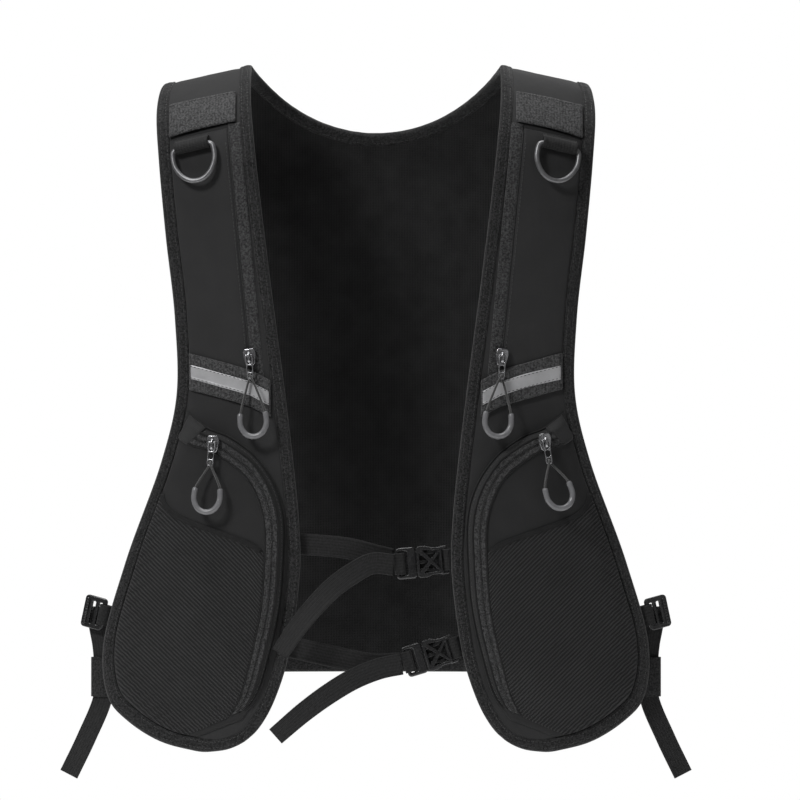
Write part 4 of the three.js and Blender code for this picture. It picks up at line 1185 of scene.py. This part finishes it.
def pullParts(reach):
    half = pullSizes["half"]
    turn = reach - pullSizes["sleeve"]
    top = 17 - turn
    line = smoothLine([(0, 0, 0.3), (-0.2, -1.9, -0.4), (-1.6, -2, -3), (-half * 0.93, -0.4, top + 1),
                       (-half, 0, top - 3), (-half * 0.98, 0, 7.5 - turn), (-half * 0.6, 0, 1.9 - turn),
                       (0, 0, -turn), (half * 0.6, 0, 1.9 - turn), (half * 0.98, 0, 7.5 - turn),
                       (half, 0, top - 3), (half * 0.93, 0.4, top + 1), (1.6, 2, -3), (0.2, 1.9, -0.4)],
                      24, closed=True)
    line = alongLine(np.vstack([line, line[:1]]), np.linspace(0, 1, 221)[:-1])
    cord = sweep(line, circle(pullSizes["cord"], 10), closed=True, hint=(0, 1, 0))
    inside = np.flatnonzero(line[:, 2] < top)
    arc = line[inside[0]:inside[-1] + 1]
    share = gone(arc) / gone(arc)[-1]
    ends = np.minimum(share, 1 - share) * gone(arc)[-1]
    scale = 0.72 + 0.28 * np.sqrt(np.clip(ends / 0.7, 0, 1)) + 0.05 * np.exp(-np.square((ends - 2.2) / 0.7))
    sleeve = sweep(arc, circle(pullSizes["sleeve"], 16), hint=(0, 1, 0), scale=scale)
    return cord, sleeve


def makeZipPull(side, kind, place, lean, swing=0.0):
    place = ownSide(side, place)
    own = f"{side}_{kind}"
    fitted(f"{own}_slider_casting", sliderParts(), "zipMetal", f"{own}_slider", "zip_metal", f"{own}_slider",
           place=place, sharp=hardEdge)
    tabPlace = place @ Matrix.Translation((0, -(1 + pullSizes["barDrop"] / 2), 1.3)) \
        @ Matrix.Rotation(-lean, 4, "X")
    fitted(f"{own}_tab_casting", tabParts(), "zipMetal", f"{own}_tab", "zip_metal", f"{own}_tab",
           place=tabPlace, sharp=hardEdge)
    pullPlace = tabPlace @ Matrix.Translation((0, 0, pullSizes["hole"] - pullSizes["tab"])) \
        @ Matrix.Rotation(swing, 4, "Y")
    cord, sleeve = pullParts(pullSizes["reach"][kind])
    fitted(f"{own}_pull_cord", [cord], "cord", f"{own}_pull", "pull_sleeve", f"{own}_pull", place=pullPlace)
    fitted(f"{own}_pull_sleeve", [sleeve], "pullSleeve", f"{own}_pull", "pull_sleeve", place=pullPlace,
           sharp=sleeveEdge)


def makeZips():
    makeCoils()
    lean = math.atan2(strapZip["bottom"][0] - strapZip["top"][0], strapZip["top"][1] - strapZip["bottom"][1])
    (cx, cz), radius = pocketCut["centre"], pocketCut["seamRadius"] - pullSizes["beside"]
    z = strapZip["slider"]
    strapPlace = clothFrame(float(zipLine(z)), z, zipRest["strapLift"], -lean)
    for side in sides:
        angle, turn, swing = zipRest[side]
        makeZipPull(side, "strap", strapPlace, zipRest["strapLean"])
        x, z = cx + radius * math.cos(angle), cz + radius * math.sin(angle)
        makeZipPull(side, "pocket", clothFrame(x, z, zipRest["pocketLift"], turn), zipRest["pocketLean"],
                    swing)


makeZips()
print("zips are ready")


# D-rings in their folded loops
ringSizes = {"wire": 1.75, "half": 15.2, "drop": 24.5, "x": 129, "z": -60, "lift": 7, "lean": 0.17,
             "loopWidth": 25, "play": 0.6, "loopTail": 6.4}


def foldedLoop(width, radius, tail, thick=1.15):  # webbing that goes round a bar and is sewn to itself
    r = radius + 0.12 + thick / 2
    arc = [(r * math.cos(t), r * math.sin(t)) for t in np.linspace(2 * math.pi, math.pi, 9)]
    facing = [(-r * 0.93, radius * 0.55 + 0.4), (-r * 0.5, radius + 1.6), (r - 1.9, radius + 3.2),
              (r - 1.25, tail)]
    route = [(r, tail), (r, radius + 2)] + arc + facing
    line = evenly(smoothLine([(0, y, z) for y, z in route], 14), 0.45)
    return ribbon(line, width, thick, (1, 0, 0))


def makeRings():
    half, drop = ringSizes["half"], ringSizes["drop"]
    points = [(-11.5, 0, 0), (-6, 0, 0.05), (0, 0, 0.05), (6, 0, 0.05), (11.5, 0, 0), (14.4, 0, -1.6),
              (half, 0, -5),
              (half * 0.96, 0, -12.5), (half * 0.66, 0, -20.4), (half * 0.25, 0, -drop),
              (-half * 0.25, 0, -drop),
              (-half * 0.66, 0, -20.4), (-half * 0.96, 0, -12.5), (-half, 0, -5), (-14.4, 0, -1.6)]
    line = smoothLine(points, 16, closed=True)
    ring = sweep(line, circle(ringSizes["wire"], 20), closed=True, hint=(0, 1, 0))
    for side in sides:
        place = ownSide(side, clothFrame(ringSizes["x"], ringSizes["z"], ringSizes["lift"],
                                         ringSizes["lean"]))
        fitted(f"{side}_d_ring_wire", [ring], "ringMetal", f"{side}_d_ring", "ring_metal", f"{side}_d_ring",
               place=place)
        loop = foldedLoop(ringSizes["loopWidth"], ringSizes["wire"] + ringSizes["play"],
                          ringSizes["loopTail"])
        fitted(f"{side}_d_ring_loop_webbing", [loop], "webbing", "vest", "webbing", f"{side}_d_ring_loop",
               place=place)


makeRings()


# ladder locks, their loops and the keepers; x, z and the lift off the cloth
sideHardware = {"lock": (193, -389, -4.8), "lockTurn": -0.23 - math.pi / 2, "keeper": (193, -433, -8.6),
                "keeperSize": (17.8, 4.2, 1.9), "keeperHalf": 14, "barReach": 8.2, "loop": (14.6, 2.4, 10)}


def makeSideHardware():
    slots = [roundedBox(0, -2.9, 16, 3, 0.9)[::-1], roundedBox(0, -8.3, 16, 2.6, 0.9)[::-1]]
    lockFrame = plate(roundedBox(0, -7.1, 23, 17, 2.6, 5), slots, 2.6, 0.7, 3)
    lip = plate(roundedBox(0, -13.2, 19, 3, 1.2), [], 1.5, 0.5, 3, y=-1.65)
    reach, half = sideHardware["barReach"], sideHardware["keeperHalf"]
    bar = sweep(np.array([(-reach, -0.25, -5.65), (reach, -0.25, -5.65)]), circle(1.15, 12), hint=(0, 1, 0))
    grips = [plate(roundedBox(x, -12.6, 1.1, 2.2, 0.4), [], 0.7, 0.25, 1, y=-2.6) for x in np.linspace(-7,
                                                                                                       7, 8)]
    ring = np.array([(x, y, 0) for x, y in roundedBox(0, 0, *sideHardware["keeperSize"], 5)])
    section = [(half, 0.35), (half - 0.4, 0.5), (0.4 - half, 0.5), (-half, 0.35), (-half, -0.35),
               (0.4 - half, -0.5), (half - 0.4, -0.5), (half, -0.35)]
    band = sweep(ring, section, closed=True, hint=(0, 0, 1), across=(0, 0, 1))
    for side in sides:
        lock = f"{side}_ladder_lock"
        place = ownSide(side, clothFrame(*sideHardware["lock"], sideHardware["lockTurn"]))
        fitted(f"{lock}_frame", [lockFrame, lip, bar, *grips], "acetal", lock, "buckle_plastic", lock,
               place=place, sharp=hardEdge)
        fitted(f"{side}_ladder_loop_webbing", [foldedLoop(*sideHardware["loop"])], "webbing", "vest",
               "webbing",
               f"{side}_ladder_loop", place=place)
        fitted(f"{side}_keeper_tape", [band], "bindingTape", "vest", "binding_tape", f"{side}_keeper",
               place=ownSide(side, clothFrame(*sideHardware["keeper"])))


makeSideHardware()


# chest buckles: X along the strap with the plug toward -X, -Y out of the chest
def socketParts():
    outline = [(-3.6, -9.6), (-2, -11), (3, -11), (7, -9.4), (12, -9.4), (14, -8.8), (14, 8.8), (12, 9.4),
               (7, 9.4),
               (3, 11), (-2, 11), (-3.6, 9.6)][::-1]
    brace = [[(0.6, -8.2), (12.2, -7.6), (6.3, -1.7)], [(0.6, 8.2), (6.3, 1.7), (12.2, 7.6)],
             [(-1.8, -6.6), (4.6, 0), (-1.8, 6.6)], [(12.9, -6.2), (12.9, 6.2), (7.9, 0)]]
    wall, out = 1.9, 3.5
    face = plate(outline, brace, wall, 0.4, 3, y=-out)
    rear = plate(outline, [], wall, 0.4, 3, y=out)
    rails = [plate([(-3.4, s * 9.6), (-2, s * 10.9), (3, s * 10.9), (4.4, s * 9.6), (4.4, s * 8.8),
                    (-3.4, s * 8.8)],
                   [], 5.6, 0.3, 2) for s in (1, -1)]
    neck = plate(roundedBox(12.9, 0, 2.2, 17.8, 0.6), [], 5.6, 0.3, 2)
    end = plate(roundedBox(15.2, 0, 6.6, 20, 1.6), [roundedBox(14.6, 0, 3.6, 16.5, 0.8)[::-1]], 2.8, 0.6, 3)
    return [face, rear, *rails, neck, end]


def plugParts():
    base = plate(roundedBox(-11.3, 0, 14.4, 22, 2.6, 6), [roundedBox(-13.4, 0, 5.8, 16.5, 1.0)[::-1]], 6,
                 1.1, 4)
    bar = sweep(np.array([(-12.4, -0.6, -8.6), (-12.4, -0.6, 8.6)]), circle(1.1, 12), hint=(1, 0, 0))
    prongs = []
    for s in (1, -1):
        outline = [(-5, 4.4), (2, 4.4), (8, 5), (10.4, 6.2), (10.8, 6.9), (10.2, 7.5), (6.4, 8.1), (5.4, 7.4),
                   (4.4, 6.8), (-5, 7.6)]
        prongs.append(plate([(x, z * s) for x, z in outline], [], 3.8, 0.5, 3))
    guide = plate(roundedBox(1, 0, 14, 3, 1.2), [], 3, 0.5, 3)
    lines = [plate(roundedBox(-6.2 + k * 1.1, 0, 0.5, 12, 0.2), [], 0.5, 0.15, 1, y=-3.1) for k in range(3)]
    return [base, bar, *prongs, guide, *lines]


def makeChest():
    for level, parts in chest.items():
        place = Matrix.Translation(parts["at"]) @ Matrix.Rotation(-parts["tilt"], 4, "Y")
        own, plug = f"{level}_chest", f"{level}_chest_plug"
        fitted(f"{own}_socket_shell", socketParts(), "acetal", "vest", "buckle_plastic", f"{own}_socket",
               place=place, sharp=hardEdge)
        fitted(f"{plug}_body", plugParts(), "acetal", plug, "buckle_plastic", plug, place=place,
               sharp=hardEdge)
        loopPlace = place @ Matrix.Translation((17.45, 0, 0)) @ Matrix.Rotation(math.pi / 2, 4, "Y")
        fitted(f"{own}_socket_loop_webbing", [foldedLoop(straps["width"], 1.95, 15)], "webbing", "vest",
               "webbing",
               f"{own}_socket_loop", place=loopPlace)
        # the strap wraps the plug's bar
        wrap = [(-18.4, 2.3, 0), (-15.6, 1.6, 0), (-13.9, 0.2, 0), (-12.4, -1.9, 0), (-13.2, -3.5, 0),
                (-16, -4.2, 0),
                (-19.5, -5.2, 0)]
        turn = ribbon(evenly(smoothLine(wrap), 0.5), straps["width"], straps["foldThick"], (0, 0, 1))
        fitted(f"{plug}_fold", [turn], "webbing", plug, "webbing", place=place)
        line = evenly(smoothLine(parts["strap"]), 1.0)
        strap = joinParts(f"{own}_strap_webbing", [ribbon(line, straps["width"], straps["thick"], (0, 0, 1))],
                          looks["webbing"])
        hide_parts(f"{own}_strap")
        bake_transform(strap)


makeChest()
print("hardware is ready")


# back panel: u from -1 to 1 across it and v from 0 to 1 down it
backPanel = {"inset": 8.3, "neckInset": 8.8, "neckTapeWidth": 1.06, "neckStitch": 6.8}
backRoute = onCloth(vestCut["backSide"], back)


def backHalfWidth(s):
    return np.interp(s, backRoute[:, 1], backRoute[:, 0])


def backAt(u, v, inset, neckInset):
    hemHalf = vestCut["backSide"][-1][0]
    neckRadius = vestCut["neckHalfWidth"] + neckInset
    x = np.abs(u) * (backHalfWidth(0) - inset)
    top = neckRadius * np.sqrt(np.maximum(0, 1 - np.square(x / neckRadius)))
    nearCorner = np.maximum(0, (np.abs(u) - 0.76) / 0.24)
    corner = vestCut["backCorner"] * (1 - np.sqrt(np.maximum(0, 1 - nearCorner * nearCorner)))
    bottom = clothLength(u * (hemHalf - inset), vestCut["backHem"] + inset + corner, back)
    s = mix(np.maximum(top, 0), bottom, v)
    return u * (backHalfWidth(s) - inset), s


def backColumns(inset, neckInset, within=64, wing=12):
    neck = (vestCut["neckHalfWidth"] + neckInset) / (backHalfWidth(0) - inset)
    middle = -neck * np.cos(np.linspace(0, math.pi, within))
    return np.concatenate([np.linspace(-1, -neck, wing)[:-1], middle, np.linspace(neck, 1, wing)[1:]])


def makeBack():
    inset, neckInset = backPanel["inset"], backPanel["neckInset"]
    columns = backColumns(inset, neckInset)
    down = np.linspace(0, 1, 150) ** 1.4
    u, v = np.meshgrid(columns, down)
    x, s = backAt(u, v, inset, neckInset)
    width = backHalfWidth(s) - inset
    away = np.minimum(np.minimum((1 - np.abs(u)) * width, v * 300), (1 - v) * 300)
    for name, level, sign, look, slot in (("back_shell_fabric", "shell", 1, "smoothFabric", "shell_fabric"),
                                          ("back_lining_mesh", "backLining", -1, "spacerMesh",
                                           "spacer_mesh")):
        low, high = layers[level]
        soft = ripple(x, s, 91 + sign, 60) * 0.3 + ripple(x, s, 95 + sign, 17) * 0.14
        wrinkle = 0.25 * ripple(x * 0.15, s, 99 + sign, 26) * np.exp(-np.square((s - 430) / 60))
        lift = (high if sign > 0 else low) + sign * (soft + seamDip(away, 0.4, 4)) + wrinkle
        outer = clothPoint(x, s, lift, back)
        inner = clothPoint(x, s, lift - sign * (high - low) * 0.9, back)
        piece = slab(name, outer, inner, np.stack([x, s], -1), looks[look])
        attach(piece, "vest", slot, name.rsplit("_", 1)[0])
    # the edge binding goes down one side, round the hem and up the other
    shares = np.linspace(0, 1, 260)
    rim = [(-1.0, share ** 1.3) for share in shares] + [(c, 1.0) for c in backColumns(0, 0)[1:-1]]
    rim = np.array(rim + [(1.0, (1 - share) ** 1.3) for share in shares])
    edge = evenly(np.stack(backAt(rim[:, 0], rim[:, 1], 0, 0), -1), 1.8)
    way = np.gradient(edge, axis=0)
    inward = np.stack([way[:, 1], -way[:, 0]], -1)
    inward /= np.linalg.norm(inward, axis=1, keepdims=True)
    inward[0], inward[-1] = (1, 0), (-1, 0)
    tape = bindingAlong("back_edge_binding_tape", edge, inward, looks["bindingTape"], face=back, seed=111)
    attach(tape, "vest", "binding_tape", "back_edge_binding")
    turn = np.linspace(math.pi, 0, 240)
    inward = np.stack([np.cos(turn), np.sin(turn)], -1)
    edge = vestCut["neckHalfWidth"] * inward
    neck = bindingAlong("back_neck_binding_tape", edge, inward, looks["bindingTape"], face=back,
                        width=backPanel["neckTapeWidth"], seed=117, wave=0.4)
    attach(neck, "vest", "binding_tape", "back_neck_binding")
    at = edge[3:-3] + inward[3:-3] * backPanel["neckStitch"]
    for lift in (2.1, -3.6):
        stitches["middle"].append(clothLine(at[:, 0], at[:, 1], lift, back))


shoulderTape = {"from": 89, "to": 151.2, "half": 2.6, "lift": 1.2, "thick": 5.0}


def makeShoulderTapes():  # the seam between front and back is bound where the two edges meet
    s, x = np.meshgrid(np.linspace(-1, 1, 10) * shoulderTape["half"],
                       np.linspace(shoulderTape["from"], shoulderTape["to"], 40), indexing="ij")
    for side, sign in sides.items():
        lift = shoulderTape["lift"] + ripple(x, s, 131 + sign, 9) * 0.08
        tape = clothSlab(f"{side}_shoulder_seam_tape", x, s, lift, shoulderTape["thick"],
                         looks["bindingTape"],
                         side=sign)
        attach(tape, "vest", "binding_tape")


makeBack()
makeShoulderTapes()
print("back is ready")

for side, lines in stitches.items():
    rows = rowOfPieces(f"{side}_stitches", lines, stitchSizes, looks["thread"])
    attach(rows, "vest", "binding_tape")
print("stitches are ready")
